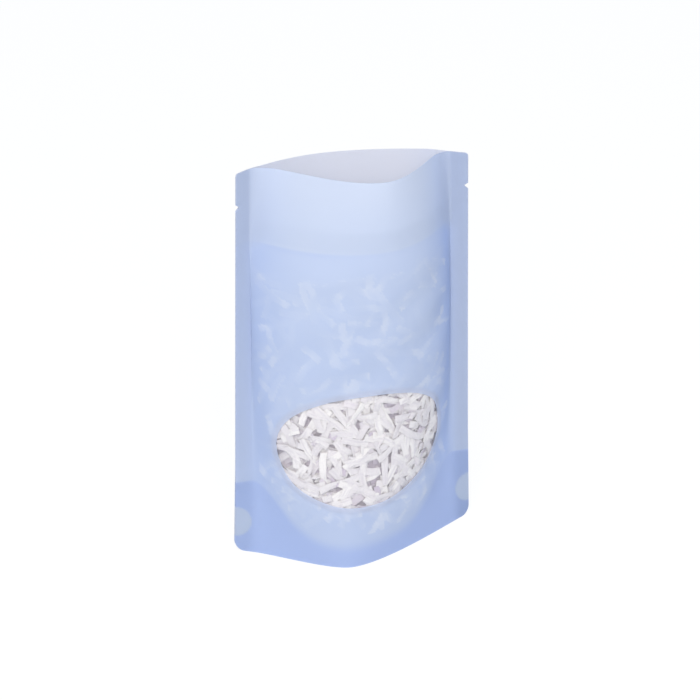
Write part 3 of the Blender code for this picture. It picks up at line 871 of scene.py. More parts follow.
@dataclass
class WallSheet:
    """A panel of the bag or the window's film: a flat cut with the film's thickness."""

    name: str
    node: str
    slot: str
    side: Side
    form: BagForm
    inset: float = 0.0
    spacing: float = 0.85 * MM
    mouth_corner: float = 1.5 * MM
    notch_drop: float = 17 * MM
    notch_depth: float = 2 * MM
    notch_opening: float = 3 * MM

    def panel_outline(self) -> list[Flat]:
        """Return the cut edge of a panel, with round corners and a tear notch in each side."""
        half = self.form.width / 2
        top = self.form.height
        notch = top - self.notch_drop
        foot, mouth, step = self.form.foot_corner, self.mouth_corner, self.spacing
        right = line((half, foot), (half, notch - self.notch_opening / 2), step)
        right += [(half - self.notch_depth, notch)]
        right += line((half, notch + self.notch_opening / 2), (half, top - mouth), step)
        right += arc((half - mouth, top - mouth), mouth, 0, 90, step)
        corner = arc((half - foot, foot), foot, -90, 0, step)
        one_side = corner + right
        other_side = [(-s, h) for s, h in reversed(one_side)]
        foot_edge = line((foot - half, 0.0), (half - foot, 0.0), step)
        mouth_edge = line((half - mouth, top), (mouth - half, top), step)
        return without_repeats(foot_edge + one_side + mouth_edge + other_side)

    def build(self, cut: FlatCut, outside: bpy.types.Material, inside: bpy.types.Material,
              marks: FilmMarks | None = None, paper: BVHTree | None = None) -> bpy.types.Object:
        """Build the sheet.

        Args:
            cut: The flat cut.
            outside: The finish of the outer face.
            inside: The finish of the inner face.
            marks: The marks of a frosted panel, or None for a clear sheet.
            paper: The paper that shows through a frosted panel.

        Returns:
            The finished piece.
        """
        flat, triangles = cut.divide()
        s, h = flat.T
        half = self.form.film / 2
        outer = self.form.place(self.side, s, h, self.inset - half)
        inner = self.form.place(self.side, s, h, self.inset + half)
        count = len(flat)
        if self.side == Side.BACK:
            triangles = triangles[:, ::-1]
        rim = rim_edges(triangles)
        faces: Faces = [tuple(t) for t in triangles.tolist()]
        faces += [tuple(t) for t in (triangles[:, ::-1] + count).tolist()]
        faces += [(b, a, count + a, count + b) for a, b in rim.tolist()]
        piece = mesh_object(self.name, np.vstack([outer, inner]), faces)
        piece.data.materials.append(outside)
        piece.data.materials.append(inside)
        slots = np.zeros(len(faces), np.int32)
        slots[len(triangles):2 * len(triangles)] = 1
        piece.data.polygons.foreach_set("material_index", slots)
        if marks and paper:
            touch = marks.touch(outer, inner, paper)
            for name, values in marks.on_panel(self.side, flat, touch).items():
                carry(piece, name, np.tile(values, 2))
        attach(piece, BODY)
        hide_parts(self.node)
        LOG.info("%s: %d triangles", self.name, 2 * len(triangles) + 2 * len(rim))
        return piece


@dataclass
class Gusset:
    """The folded sheet at the foot, opened into a floor, with half-round holes in its side edges."""

    form: BagForm
    edge: float = 0.5 * MM
    spacing: float = 1.5 * MM
    skirt_share: float = 0.6

    def outline(self) -> list[Flat]:
        """Return the unfolded sheet's edge, from the front panel's foot to the back panel's."""
        half = self.form.width / 2
        length = 2 * self.form.gusset_depth
        radius = self.form.foot_corner
        low, high = self.edge + radius, length - self.edge - radius
        right = arc((half - radius, low), radius, -90, 0, self.spacing / 2)
        for level in (self.form.punch_level, length - self.form.punch_level):
            right += arc((half, level), self.form.punch_radius, 270, 90, self.spacing / 2)
        right += arc((half - radius, high), radius, 0, 90, self.spacing / 2)
        dense: list[Flat] = []
        for a, b in zip(right, right[1:]):
            dense += line(a, b, self.spacing)[:-1]
        dense.append(right[-1])
        left = [(-s, t) for s, t in reversed(dense)]
        foot = line(left[-1], right[0], self.spacing)
        far = line(right[-1], left[0], self.spacing)
        return without_repeats(foot + dense + far + left)

    def standing(self, flat: np.ndarray) -> np.ndarray:
        """Put points of the unfolded sheet on the panels and on the floor of the bag."""
        form = self.form
        s, t = flat.T
        placed = np.empty((len(flat), 3))
        for side in Side:
            chosen = t <= form.gusset_depth if side == Side.FRONT else t > form.gusset_depth
            across = s[chosen]
            up = t[chosen] if side == Side.FRONT else 2 * form.gusset_depth - t[chosen]
            seal = form.foot_seal_height(across)
            leg = form.place(side, across, np.minimum(up, seal), form.stack_step)
            fold = form.fold_points(across, side)
            above = leg.copy()
            above[:, 2] = fold[:, 2]
            share = np.clip((up - seal) / (form.gusset_depth - seal), 0, 1)[:, None]
            placed[chosen] = (leg * (1 - share) ** 2 + above * 2 * share * (1 - share)
                              + fold * share ** 2)
        return placed

    def build(self, finish: bpy.types.Material) -> bpy.types.Object:
        """Build the gusset."""
        flat, triangles = FlatCut(self.outline(), [], self.spacing).divide()
        faces: Faces = [tuple(t) for t in triangles.tolist()]
        piece = mesh_object("opened_gusset", self.standing(flat), faces)
        for name in ("touch", "head", "painted_side_shade", "weld_and_shade", "foot_weld_and_shade", "punch", "ridge", "groove",
                     "rim"):
            carry(piece, name, np.zeros(len(flat)))
        carry(piece, "skirt", np.full(len(flat), self.skirt_share))
        film = piece.modifiers.new("film", "SOLIDIFY")
        film.thickness = self.form.film
        film.offset = 0
        piece.data.materials.append(finish)
        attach(piece, BODY)
        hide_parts("bottom_gusset")
        LOG.info("opened_gusset: %d triangles", 2 * len(triangles))
        return piece


@dataclass
class ZipperStrip:
    """One half of the press-to-close strip, run along a wall from side to side."""

    name: str
    node: str
    slot: str
    side: Side
    form: BagForm
    ribs: tuple[tuple[float, float], ...]
    band: float = 11 * MM
    base: float = 0.2 * MM
    height: float = 1.2 * MM
    end: float = 7 * MM
    spacing: float = 1.2 * MM
    rounding: int = 8

    def profile(self) -> list[Flat]:
        """Return the strip's section as insets and heights, with rounded ribs."""
        low = self.form.height - self.form.zipper_drop
        middle = low + self.band / 2
        outer = self.form.film / 2 + self.form.clearance
        inner = outer + self.base
        section = [(outer, low + self.band), (outer, low), (inner, low)]
        for place, width in self.ribs:
            bottom, top, half = middle + place - width / 2, middle + place + width / 2, width / 2
            section.append((inner, bottom))
            for angle in np.radians(np.linspace(-90, 90, self.rounding + 1)):
                rise = self.height - half + half * math.cos(angle)
                section.append((inner + rise, (bottom + top) / 2 + half * math.sin(angle)))
            section.append((inner, top))
        return section + [(inner, low + self.band)]

    def build(self, finish: bpy.types.Material) -> bpy.types.Object:
        """Build the strip."""
        section = np.array(self.profile())
        reach = self.form.flat_half - self.end
        stations = np.linspace(-reach, reach, math.ceil(2 * reach / self.spacing) + 1)
        count = len(section)
        s = np.repeat(stations, count)
        inset, h = np.tile(section, (len(stations), 1)).T
        points = self.form.place(self.side, s, h, inset)
        faces = grid_faces(count, len(stations), closed=True)
        last = len(points) - count
        faces += [tuple(range(count))[::-1], tuple(range(last, last + count))]
        if self.side == Side.BACK:
            faces = [face[::-1] for face in faces]
        piece = mesh_object(self.name, points, faces)
        piece.data.materials.append(finish)
        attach(piece, BODY)
        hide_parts(self.node)
        LOG.info("%s: %d faces", self.name, len(faces))
        return piece


class Draw(IntEnum):
    """What is drawn at random for each strip, with the number that sets its draw apart."""

    LEAN_ACROSS = 11
    LEAN_ALONG = 23
    TURN = 37
    NOISE = 41
    SHADE = 53
    LENGTH = 67
    FOLD = 71


@dataclass
class ShredTree:
    """Geometry Nodes that strew bent strips of paper over a surface."""

    columns: int = 9
    rows: int = 3
    noise_room: float = 50.0

    def build(self) -> Tree:
        """Build the tree, with named inputs for its sizes."""
        self.tree = bpy.data.node_groups.new("strewn_strips", "GeometryNodeTree")
        interface = self.tree.interface
        interface.new_socket("Geometry", in_out="INPUT", socket_type="NodeSocketGeometry")
        sizes = ("Density", "Least Length", "Greatest Length", "Strip Width", "Lean", "Curl",
                 "Curl Scale", "Sway", "Twist", "Fold")
        for name, kind in ([(size, "Float") for size in sizes]
                           + [("Seed", "Int"), ("Paper", "Material")]):
            interface.new_socket(name, in_out="INPUT", socket_type=f"NodeSocket{kind}")
        interface.new_socket("Geometry", in_out="OUTPUT", socket_type="NodeSocketGeometry")
        self.given = self._add("NodeGroupInput").outputs
        points, facing = self._strew()
        bent = self._bend(self._lay(points, facing))
        inputs = {"Geometry": bent, "Material": self.given["Paper"]}
        painted = self._add("GeometryNodeSetMaterial", inputs)
        self._add("NodeGroupOutput", {"Geometry": painted.outputs["Geometry"]})
        return self.tree

    def _add(self, kind: str, inputs: Inputs | None = None, **settings: object) -> Node:
        """Add a node."""
        return add_node(self.tree, kind, inputs, **settings)

    def _math(self, operation: str, *values: Socket | float) -> Socket:
        """Work out a number from others."""
        return self._add("ShaderNodeMath", dict(enumerate(values)), operation=operation).outputs[0]

    def _times(self, value: Socket, factor: Socket | float) -> Socket:
        """Multiply two numbers."""
        return self._math("MULTIPLY", value, factor)

    def _vector(self, operation: str, *values: Socket | Colour) -> Socket:
        """Work out a vector from two others."""
        inputs = dict(enumerate(values))
        return self._add("ShaderNodeVectorMath", inputs, operation=operation).outputs[0]

    def _along(self, way: Socket, distance: Socket) -> Socket:
        """Go a distance along a direction."""
        inputs = {0: way, "Scale": distance}
        return self._add("ShaderNodeVectorMath", inputs, operation="SCALE").outputs[0]

    def _parts(self, vector: Socket) -> list[Socket]:
        """Take a vector apart."""
        return list(self._add("ShaderNodeSeparateXYZ", {0: vector}).outputs)

    def _turned(self, way: tuple[int, int, int], facing: Socket) -> Socket:
        """Turn a direction with a strip."""
        return self._add("FunctionNodeRotateVector", {0: way, 1: facing}).outputs[0]

    def _random(self, draw: Draw, kind: str, low: object, high: object) -> Socket:
        """Make a random value for each strip, fixed by the tree's seed."""
        node = self._add("FunctionNodeRandomValue", data_type=kind)
        ends = [number for number, socket in enumerate(node.inputs) if socket.enabled]
        seed = self._math("ADD", self.given["Seed"], draw.value)
        feed(node, {ends[0]: low, ends[1]: high, "Seed": seed})
        return next(socket for socket in node.outputs if socket.enabled)

    def _store(self, geometry: Socket, name: str, kind: str, value: Socket) -> Socket:
        """Store a value on the points of a geometry."""
        inputs = {"Geometry": geometry, "Name": name, "Value": value}
        node = self._add("GeometryNodeStoreNamedAttribute", inputs, data_type=kind, domain="POINT")
        return node.outputs["Geometry"]

    def _read(self, name: str, kind: str = "FLOAT") -> Socket:
        """Read a value that the points carry."""
        node = self._add("GeometryNodeInputNamedAttribute", {"Name": name}, data_type=kind)
        return next(socket for socket in node.outputs if socket.enabled)

    def _strew(self) -> tuple[Socket, Socket]:
        """Spread points over the surface, with a random turn and lean for each."""
        given = self.given
        spread_out = self._add("GeometryNodeDistributePointsOnFaces", {
            "Mesh": given["Geometry"], "Density": given["Density"], "Seed": given["Seed"]})
        lean, fold = given["Lean"], given["Fold"]
        least = self._times(lean, -1.0)
        angles = self._add("ShaderNodeCombineXYZ", {
            "X": self._random(Draw.LEAN_ACROSS, "FLOAT", least, lean),
            "Y": self._random(Draw.LEAN_ALONG, "FLOAT", least, lean),
            "Z": self._random(Draw.TURN, "FLOAT", 0.0, 2 * math.pi)})
        turn = self._add("FunctionNodeEulerToRotation", {0: angles.outputs[0]})
        facing = self._add("FunctionNodeRotateRotation", {
            "Rotation": spread_out.outputs["Rotation"], "Rotate By": turn.outputs[0]},
            rotation_space="LOCAL").outputs[0]
        room = (self.noise_room,) * 3
        length = self._random(Draw.LENGTH, "FLOAT", given["Least Length"], given["Greatest Length"])
        own_noise = self._random(Draw.NOISE, "FLOAT_VECTOR", (0, 0, 0), room)
        points = spread_out.outputs["Points"]
        for name, kind, value in (
                ("own_noise", "FLOAT_VECTOR", own_noise),
                ("shade", "FLOAT", self._random(Draw.SHADE, "FLOAT", 0.0, 1.0)),
                ("length", "FLOAT", length),
                ("fold", "FLOAT", self._random(Draw.FOLD, "FLOAT", self._times(fold, -1.0), fold)),
                ("lift_way", "FLOAT_VECTOR", self._turned((0, 0, 1), facing)),
                ("side_way", "FLOAT_VECTOR", self._turned((0, 1, 0), facing))):
            points = self._store(points, name, kind, value)
        return points, facing

    def _lay(self, points: Socket, facing: Socket) -> Socket:
        """Lay one flat strip of its own length on each point."""
        strip = self._add("GeometryNodeMeshGrid", {
            "Size X": 1.0, "Size Y": self.given["Strip Width"],
            "Vertices X": self.columns, "Vertices Y": self.rows})
        place = self._add("GeometryNodeInputPosition").outputs[0]
        marked = self._store(strip.outputs["Mesh"], "strip", "FLOAT_VECTOR", place)
        size = self._add("ShaderNodeCombineXYZ", {"X": self._read("length"), "Y": 1.0, "Z": 1.0})
        lay = self._add("GeometryNodeInstanceOnPoints", {
            "Points": points, "Instance": marked, "Rotation": facing, "Scale": size.outputs[0]})
        real = self._add("GeometryNodeRealizeInstances", {"Geometry": lay.outputs["Instances"]})
        return real.outputs["Geometry"]

    def _bend(self, strips: Socket) -> Socket:
        """Bend, sway, twist and fold each strip in its own way, alike all across its width."""
        given = self.given
        run, across, _ = self._parts(self._read("strip", "FLOAT_VECTOR"))
        distance = self._times(self._times(run, self._read("length")), given["Curl Scale"])
        step = self._add("ShaderNodeCombineXYZ", {"X": distance}).outputs[0]
        place = self._vector("ADD", step, self._read("own_noise", "FLOAT_VECTOR"))
        noise = self._add("ShaderNodeTexNoise", {"Vector": place, "Scale": 1.0, "Detail": 1.0})
        centred = self._vector("SUBTRACT", noise.outputs["Color"], (0.5, 0.5, 0.5))
        curl, sway, twist = self._parts(centred)
        lift_way, side_way = (self._read(name, "FLOAT_VECTOR") for name in ("lift_way", "side_way"))
        ridge = self._times(self._times(self._math("ABSOLUTE", across), self._read("fold")), -1.0)
        offset = self._along(lift_way, self._times(curl, given["Curl"]))
        for way, amount in ((side_way, self._times(sway, given["Sway"])),
                            (lift_way, self._times(self._times(twist, given["Twist"]), across)),
                            (lift_way, ridge)):
            offset = self._vector("ADD", offset, self._along(way, amount))
        bend = self._add("GeometryNodeSetPosition", {"Geometry": strips, "Offset": offset})
        return bend.outputs["Geometry"]


@dataclass(frozen=True)
class ShredLayer:
    """One layer of strewn strips: the surface it lies on, how thickly, and how much painted shade of
    depth it carries.
    """

    side: Side
    inset: float
    reach: float
    low: float
    high: float
    cover: float
    lean: float
    curl: float
    seed: int
    # How much painted shade of depth the layer's strips carry.
    depth_shade: float = 0.0


@dataclass
class PaperFill:
    """The shredded paper: a plain body, and layers of bent strips that lie over it; the deeper layers
    and the body are painted in shade.

    A window layer is its inset in millimetres and its cover. A wall layer is its inset in
    millimetres, its lean and its curl in millimetres.
    """

    form: BagForm
    strip_width: float = 3.5 * MM
    lengths: Span = (9 * MM, 24 * MM)
    curl_scale: float = 75.0
    sway: float = 5 * MM
    twist: float = 1.6
    fold: float = 0.16
    thickness: float = 0.10 * MM
    crisp_angle: float = math.radians(40)
    top: float = 150 * MM
    end: float = 6.5 * MM
    skin_gap: float = 0.62 * MM
    core_margin: float = 3.9 * MM
    core_drop: float = 4 * MM
    core_end: float = 6 * MM
    # How dull the plain body is painted, as the shade of the gaps.
    core_painted_shade: float = 0.9
    floor_gap: float = 0.8 * MM
    window_reach: float = 46 * MM
    window_levels: Span = (26 * MM, 94 * MM)
    window_layers: tuple[Span, ...] = ((1.1, 0.24), (1.3, 0.26), (1.6, 0.28), (1.9, 0.30),
                                       (2.4, 0.34), (2.9, 0.6), (3.4, 0.8))
    window_lean: float = 0.03
    window_curl: float = 2.0
    window_seed: int = 3
    # Painted shade rises over these insets, on the deeper window layers.
    depth_shade_start: float = 1.7
    depth_shade_fade: float = 2.0
    wall_layers: tuple[tuple[float, float, float], ...] = ((1.2, 0.5, 2.2), (2.4, 0.12, 5.0))
    wall_seeds: tuple[tuple[Side, int], ...] = ((Side.FRONT, 31), (Side.BACK, 41))
    wall_start: float = 12 * MM
    wall_cover: float = 0.6
    loose_inset: float = 2.2 * MM
    loose_cover: float = 0.14
    loose_lean: float = 1.2
    loose_curl: float = 5 * MM
    loose_seed: int = 23
    top_reach: float = 36 * MM
    top_inset: float = 3 * MM
    top_layers: int = 3
    top_cover: float = 0.9
    top_lean: float = 0.35
    top_curl: float = 7 * MM
    top_seed: int = 71
    guide_points: tuple[int, int] = (25, 15)
    top_points: tuple[int, int] = (13, 9)
    room_points: int = 41
    room_rings: int = 34
    wall_drop: float = 30 * MM
    search: float = 8 * MM
    press: float = 0.02 * MM
    press_share: float = 0.12
    poke: float = 0.2 * MM

    def layers(self) -> list[ShredLayer]:
        """Return the layers, from the wall inwards, closest together behind the window."""
        low, high = self.window_levels
        reach = self.form.flat_half - self.end
        made = [ShredLayer(Side.FRONT, inset * MM, self.window_reach, low, high, cover=cover,
                           lean=self.window_lean * inset, curl=(self.window_curl + inset) * MM,
                           seed=self.window_seed + number,
                           depth_shade=smooth((inset - self.depth_shade_start) / self.depth_shade_fade))
                for number, (inset, cover) in enumerate(self.window_layers)]
        made.append(ShredLayer(Side.FRONT, self.loose_inset, self.window_reach, low, high,
                               cover=self.loose_cover, lean=self.loose_lean, curl=self.loose_curl,
                               seed=self.loose_seed))
        for number, (inset, lean, curl) in enumerate(self.wall_layers):
            for side, seed in self.wall_seeds:
                made.append(ShredLayer(side, inset * MM, reach, self.wall_start, self.top,
                                       cover=self.wall_cover, lean=lean, curl=curl * MM,
                                       seed=seed + number))
        return made

    def guide(self, layer: ShredLayer) -> bpy.types.Object:
        """Make the surface that one layer is strewn over."""
        columns, rows = self.guide_points
        across = np.linspace(-layer.reach, layer.reach, columns)
        low = np.maximum(self.form.floor_height(across) + self.floor_gap, layer.low)
        shares = np.linspace(0, 1, rows)
        s = np.tile(across, rows)
        h = np.concatenate([low + (layer.high - low) * share for share in shares])
        faces = grid_faces(columns, rows)
        if layer.side == Side.BACK:
            faces = [face[::-1] for face in faces]
        return mesh_object("strip_guide", self.form.place(layer.side, s, h, layer.inset), faces)

    def top_guide(self) -> bpy.types.Object:
        """Make the surface of the top of the paper."""
        columns, rows = self.top_points
        s = np.linspace(-1, 1, columns) * self.top_reach
        front, back = (self.form.place(side, s, self.top, self.top_inset) for side in Side)
        points = np.vstack([front + (back - front) * share for share in np.linspace(0, 1, rows)])
        return mesh_object("top_guide", points, grid_faces(columns, rows))

    def strew(self, tree: Tree, guide: bpy.types.Object, cover: float, lean: float, curl: float,
              seed: int, finish: bpy.types.Material) -> dict[str, np.ndarray]:
        """Strew strips over a guide, and give back their plain mesh.

        Args:
            tree: The tree that strews them.
            guide: The surface, which is removed afterwards.
            cover: How many strips lie over each point, on the average.
            lean: How far a strip leans out of the surface, in radians.
            curl: How strongly a strip bends out of its own plane.
            seed: The seed of the layer.
            finish: The paper's finish.

        Returns:
            The points, the faces, each point's place on its strip, and the shade of its strip.
        """
        area = self.strip_width * sum(self.lengths) / 2
        modifier = guide.modifiers.new("strips", "NODES")
        modifier.node_group = tree
        least, greatest = self.lengths
        given = {"Density": cover / area, "Least Length": least, "Greatest Length": greatest,
                 "Strip Width": self.strip_width, "Lean": lean, "Curl": curl, "Sway": self.sway,
                 "Twist": self.twist, "Fold": self.fold, "Curl Scale": self.curl_scale,
                 "Seed": seed, "Paper": finish}
        for socket in tree.interface.items_tree:
            if socket.in_out == "INPUT" and socket.name in given:
                modifier[socket.identifier] = given[socket.name]
        guide.update_tag()
        depsgraph = bpy.context.evaluated_depsgraph_get()
        mesh = bpy.data.meshes.new_from_object(guide.evaluated_get(depsgraph))
        count = len(mesh.vertices)
        points, strip, shade = np.empty(count * 3), np.empty(count * 3), np.empty(count)
        mesh.vertices.foreach_get("co", points)
        mesh.attributes["strip"].data.foreach_get("vector", strip)
        mesh.attributes["shade"].data.foreach_get("value", shade)
        corners = np.empty(len(mesh.loops), np.int64)
        mesh.loops.foreach_get("vertex_index", corners)
        bpy.data.objects.remove(guide, do_unlink=True)
        bpy.data.meshes.remove(mesh)
        return {"points": points.reshape(-1, 3), "faces": corners.reshape(-1, 4),
                "strip": strip.reshape(-1, 3), "shade": shade}

    def room(self, margin: float, top: float, end: float) -> tuple[np.ndarray, Faces]:
        """Return the closed space of the paper, the margin inside the walls."""
        reach = self.form.flat_half - end
        across = reach * np.sin(math.pi * (np.linspace(0, 1, self.room_points) - 0.5))
        floor = self.form.floor_height(across) + max(self.floor_gap, 0.5 * margin)
        rings = self.room_rings
        points = np.vstack([
            self.form.place(side, along, low + (top - low) * j / rings, margin)
            for j in range(rings + 1)
            for side, along, low in ((Side.FRONT, across, floor),
                                     (Side.BACK, across[::-1], floor[::-1]))])
        size = 2 * len(across)
        faces = grid_faces(size, rings + 1, closed=True)
        for i in range(len(across) - 1):
            bottom = (i + 1, i, size - 1 - i, size - 2 - i)
            faces += [bottom, tuple(rings * size + k for k in bottom[::-1])]
        return points, faces

    def walls(self) -> BVHTree:
        """Return the walls of the bag, the skin gap inside the film, for finding what pokes out."""
        points, faces = self.room(self.skin_gap, self.form.height - self.wall_drop, self.end / 2)
        return BVHTree.FromPolygons(points.tolist(), faces)

    def keep_inside(self, points: np.ndarray) -> np.ndarray:
        """Press back every point that would reach the film, as the film presses the paper."""
        walls = self.walls()
        pressed = points.copy()
        for i, point in enumerate(points):
            nearest, normal, _, distance = walls.find_nearest(Vector(point), self.search)
            if nearest is not None and (Vector(point) - nearest).dot(normal) > -self.press:
                pressed[i] = nearest - normal * (self.press + self.press_share * distance)
        return pressed

    def unbroken(self, points: np.ndarray, faces: np.ndarray) -> np.ndarray:
        """Drop the faces of every strip that would cut through the film between its points."""
        walls = self.walls()
        strips = faces[:, 0] // (ShredTree.columns * ShredTree.rows)
        bad = set()
        for strip, centre in zip(strips.tolist(), points[faces].mean(axis=1)):
            nearest, normal, *_ = walls.find_nearest(Vector(centre))
            if (Vector(centre) - nearest).dot(normal) > self.poke:
                bad.add(strip)
        return faces[~np.isin(strips, list(bad))]

    def _thicken(self, piece: bpy.types.Object) -> None:
        """Give the strips the paper's thickness, with crisp edges."""
        modifier = piece.modifiers.new("paper", "SOLIDIFY")
        modifier.thickness = self.thickness
        modifier.offset = 0
        thin = piece.data
        piece.data = bpy.data.meshes.new_from_object(
            piece.evaluated_get(bpy.context.evaluated_depsgraph_get()))
        piece.modifiers.remove(modifier)
        piece.data.set_sharp_from_angle(angle=self.crisp_angle)
        bpy.data.meshes.remove(thin)

    def build(self, finish: bpy.types.Material) -> tuple[bpy.types.Object, BVHTree]:
        """Build the paper.

        Args:
            finish: The paper's finish.

        Returns:
            The finished strips, and a tree of their faces for what shows through the film.
        """
        tree = ShredTree().build()
        layers = self.layers()
        parts = [self.strew(tree, self.guide(layer), layer.cover, layer.lean, layer.curl, layer.seed,
                            finish) for layer in layers]
        parts += [self.strew(tree, self.top_guide(), self.top_cover, self.top_lean, self.top_curl,
                             self.top_seed + number, finish) for number in range(self.top_layers)]
        counts = [len(part["points"]) for part in parts]
        starts = np.cumsum([0] + counts[:-1])
        points = self.keep_inside(np.vstack([part["points"] for part in parts]))
        faces = np.vstack([part["faces"] + start for part, start in zip(parts, starts)])
        faces = self.unbroken(points, faces)
        polygons: Faces = [tuple(face) for face in faces.tolist()]
        piece = mesh_object("paper_strips", points, polygons)
        carry(piece, "shade", np.concatenate([part["shade"] for part in parts]))
        # Painted shade: the deeper window layers carry more of it, and the top layers none.
        depth_shades = [layer.depth_shade for layer in layers] + [0.0] * self.top_layers
        carry(piece, "depth_shade", np.repeat(depth_shades, counts))
        lengthwise = piece.data.attributes.new("strip", "FLOAT_VECTOR", "POINT")
        lengthwise.data.foreach_set("vector", np.vstack([part["strip"] for part in parts]).ravel())
        seen = BVHTree.FromPolygons(points.tolist(), polygons)
        piece.data.materials.append(finish)
        self._thicken(piece)
        core_points, core_faces = self.room(self.core_margin, self.top - self.core_drop,
                                            self.end + self.core_end)
        # The plain body of paper behind the strips, painted fully in the shade of the gaps.
        core = mesh_object("paper_core", core_points, core_faces)
        carry(core, "shade", np.full(len(core_points), self.core_painted_shade))
        carry(core, "depth_shade", np.ones(len(core_points)))
        core.data.materials.append(finish)
        for made in (piece, core):
            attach(made, BODY)
            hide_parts("shredded_paper")
        LOG.info("paper_strips: %d faces before they get their thickness", len(faces))
        return piece, seen


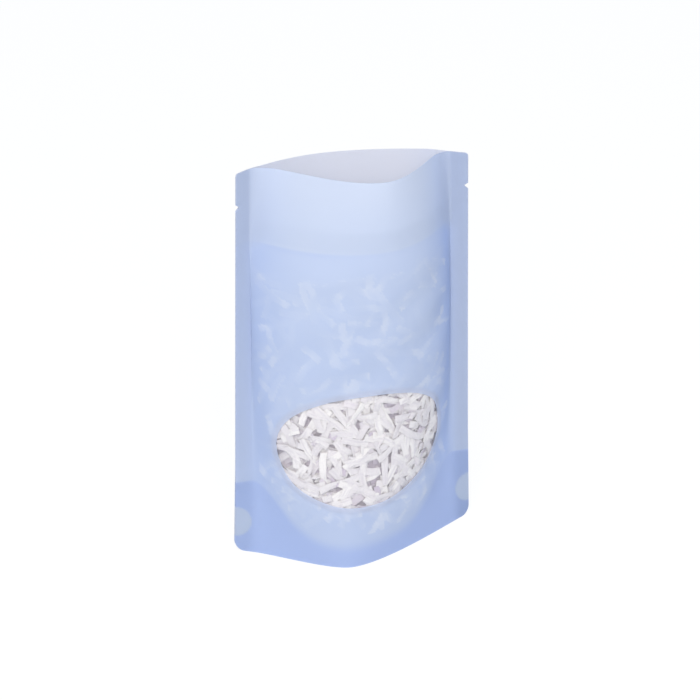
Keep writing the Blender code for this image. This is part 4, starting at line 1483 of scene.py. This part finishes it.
@dataclass
class Studio:
    """The floor, the lights and the camera."""

    ambient: Colour = (0.47, 0.54, 0.63)
    key_strength: float = 14.3
    key_colour: Colour = (1.0, 0.94, 0.82)
    key_size: float = 0.9
    key_azimuth: float = -20.0
    key_height: float = 42.0
    key_distance: float = 1.4
    azimuth: float = 16.73
    elevation: float = 28.0
    distance: float = 1.3
    focal_pixels: float = 2704.15
    image_pixels: float = 700.0
    aim_side: float = -1.38 * MM
    aim_height: float = 101.67 * MM
    floor_size: float = 6.0
    floor_level: float = -0.1 * MM
    floor_colour: Colour = (0.95, 0.95, 0.95)
    floor_roughness: float = 0.9
    floor_glow: float = 1.05
    floor_glow_share: float = 0.85

    def build(self) -> None:
        """Build the studio."""
        self._floor()
        self._world()
        self._key()
        self._camera()
        bpy.context.scene.view_settings.view_transform = "Standard"
        LOG.info("studio built")

    def _target(self) -> Vector:
        """Return the point that the camera looks at."""
        turn = math.radians(self.azimuth)
        aim = self.aim_side
        return Vector((aim * math.cos(turn), -aim * math.sin(turn), self.aim_height))

    def _camera(self) -> None:
        """Set the camera at the photograph's angle and distance."""
        turn, tilt = math.radians(self.azimuth), math.radians(self.elevation)
        flat = math.cos(tilt)
        ahead = Vector((math.sin(turn) * flat, math.cos(turn) * flat, -math.sin(tilt)))
        data = bpy.data.cameras.new("camera")
        data.sensor_width = 36.0
        data.lens = data.sensor_width * self.focal_pixels / self.image_pixels
        camera = bpy.data.objects.new("camera", data)
        camera.location = self._target() - self.distance * ahead
        camera.rotation_euler = ahead.to_track_quat("-Z", "Y").to_euler()
        bpy.context.scene.collection.objects.link(camera)
        bpy.context.scene.camera = camera

    def _key(self) -> None:
        """Add the soft main light, from the left of the camera and above."""
        turn, tilt = math.radians(self.key_azimuth), math.radians(self.key_height)
        flat = math.cos(tilt)
        way = Vector((math.sin(turn) * flat, -math.cos(turn) * flat, math.sin(tilt)))
        data = bpy.data.lights.new("key", "AREA")
        data.size = self.key_size
        data.energy = self.key_strength
        data.color = self.key_colour
        lamp = bpy.data.objects.new("key", data)
        lamp.location = self._target() + self.key_distance * way
        lamp.rotation_euler = (-way).to_track_quat("-Z", "Y").to_euler()
        bpy.context.scene.collection.objects.link(lamp)

    def _world(self) -> None:
        """Light the scene evenly, with white behind what the camera sees."""
        world = bpy.data.worlds.new("studio")
        bpy.context.scene.world = world
        world.use_nodes = True
        tree = world.node_tree
        light = plain_colour(tree, self.ambient)
        white = mix_colour(tree, self._seen_straight(tree), light, (1.0, 1.0, 1.0))
        feed(tree.nodes["Background"], {"Color": white})

    @staticmethod
    def _seen_straight(tree: Tree) -> Socket:
        """Return 1 for what the camera sees, mirrored or through a clear film too, or else 0."""
        path = tree.nodes.new("ShaderNodeLightPath")
        total = path.outputs["Is Camera Ray"]
        for name in ("Is Glossy Ray", "Is Transmission Ray"):
            both = {0: total, 1: path.outputs[name]}
            total = add_node(tree, "ShaderNodeMath", both, use_clamp=True).outputs[0]
        return total

    def _floor(self) -> None:
        """Lay a white floor that keeps a soft shadow of the bag."""
        half, low = self.floor_size / 2, self.floor_level
        corners = np.array([(-half, -half, low), (half, -half, low), (half, half, low),
                            (-half, half, low)])
        floor = mesh_object("floor", corners, [(0, 1, 2, 3)])
        material, tree, shader = new_material("white_floor")
        feed(shader, {"Base Color": (*self.floor_colour, 1.0), "Roughness": self.floor_roughness})
        glow = add_node(tree, "ShaderNodeEmission", {"Strength": self.floor_glow})
        share = scaled(tree, self._seen_straight(tree), WHOLE, (0.0, self.floor_glow_share))
        show_blend(tree, share, shader, glow)
        floor.data.materials.append(material)


def build_bag() -> None:
    """Build every piece of the bag, from the paper outwards."""
    form = BagForm()
    window = Window()
    film = FrostedFilm("frosted_blue_film").build()
    # The inside face carries the same marks, painted shade and highlight too, in paler colours.
    lining = FrostedFilm(
        "pale_film_inside", body=(0.85, 0.88, 0.97), head=(0.93, 0.93, 0.99),
        painted_side_shade=(0.80, 0.84, 0.96),
        weld_and_shade=(0.84, 0.86, 0.95), skirt=(0.70, 0.76, 0.92), foot_weld_and_shade=(0.66, 0.72, 0.90),
        punch=(0.84, 0.86, 0.95), paper=(0.88, 0.89, 0.95), ridge=(0.90, 0.90, 0.96),
        groove=(0.80, 0.82, 0.93), glow=(0.96, 0.97, 1.0), see_through=0.38).build()
    clear = ClearFilm().build()
    strip = StripPlastic().build()
    paper, seen = PaperFill(form).build(ShreddedPaper().build())
    LOG.info("%s built", paper.name)
    marks = FilmMarks(form, window)
    front = WallSheet("front_film", "front_panel", "frosted_film", Side.FRONT, form)
    cut = FlatCut(front.panel_outline(), [window.edge()], front.spacing)
    front.build(cut, film, lining, marks, seen)
    back = WallSheet("back_film", "back_panel", "back_film", Side.BACK, form)
    cut = FlatCut(back.panel_outline(), [], back.spacing)
    back.build(cut, film, lining, marks, seen)
    pane = WallSheet("window_pane", "window_film", "clear_film", Side.FRONT, form,
                     inset=form.stack_step)
    pane.build(FlatCut(window.edge(window.border), [], pane.spacing), clear, clear)
    Gusset(form).build(film)
    rib = ((0.0, 1.0 * MM),)
    lips = ((-1.1 * MM, 0.6 * MM), (1.1 * MM, 0.6 * MM))
    ZipperStrip("rib_strip", "zipper_rib_strip", "rib_strip", Side.FRONT, form, rib).build(strip)
    groove = ZipperStrip("groove_strip", "zipper_groove_strip", "groove_strip", Side.BACK, form, lips)
    groove.build(strip)


def main() -> None:
    """Load the frame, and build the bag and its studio."""
    logging.basicConfig(level=logging.INFO, format="%(name)s: %(message)s")
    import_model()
    Studio().build()
    build_bag()


if __name__ == "__main__":
    main()
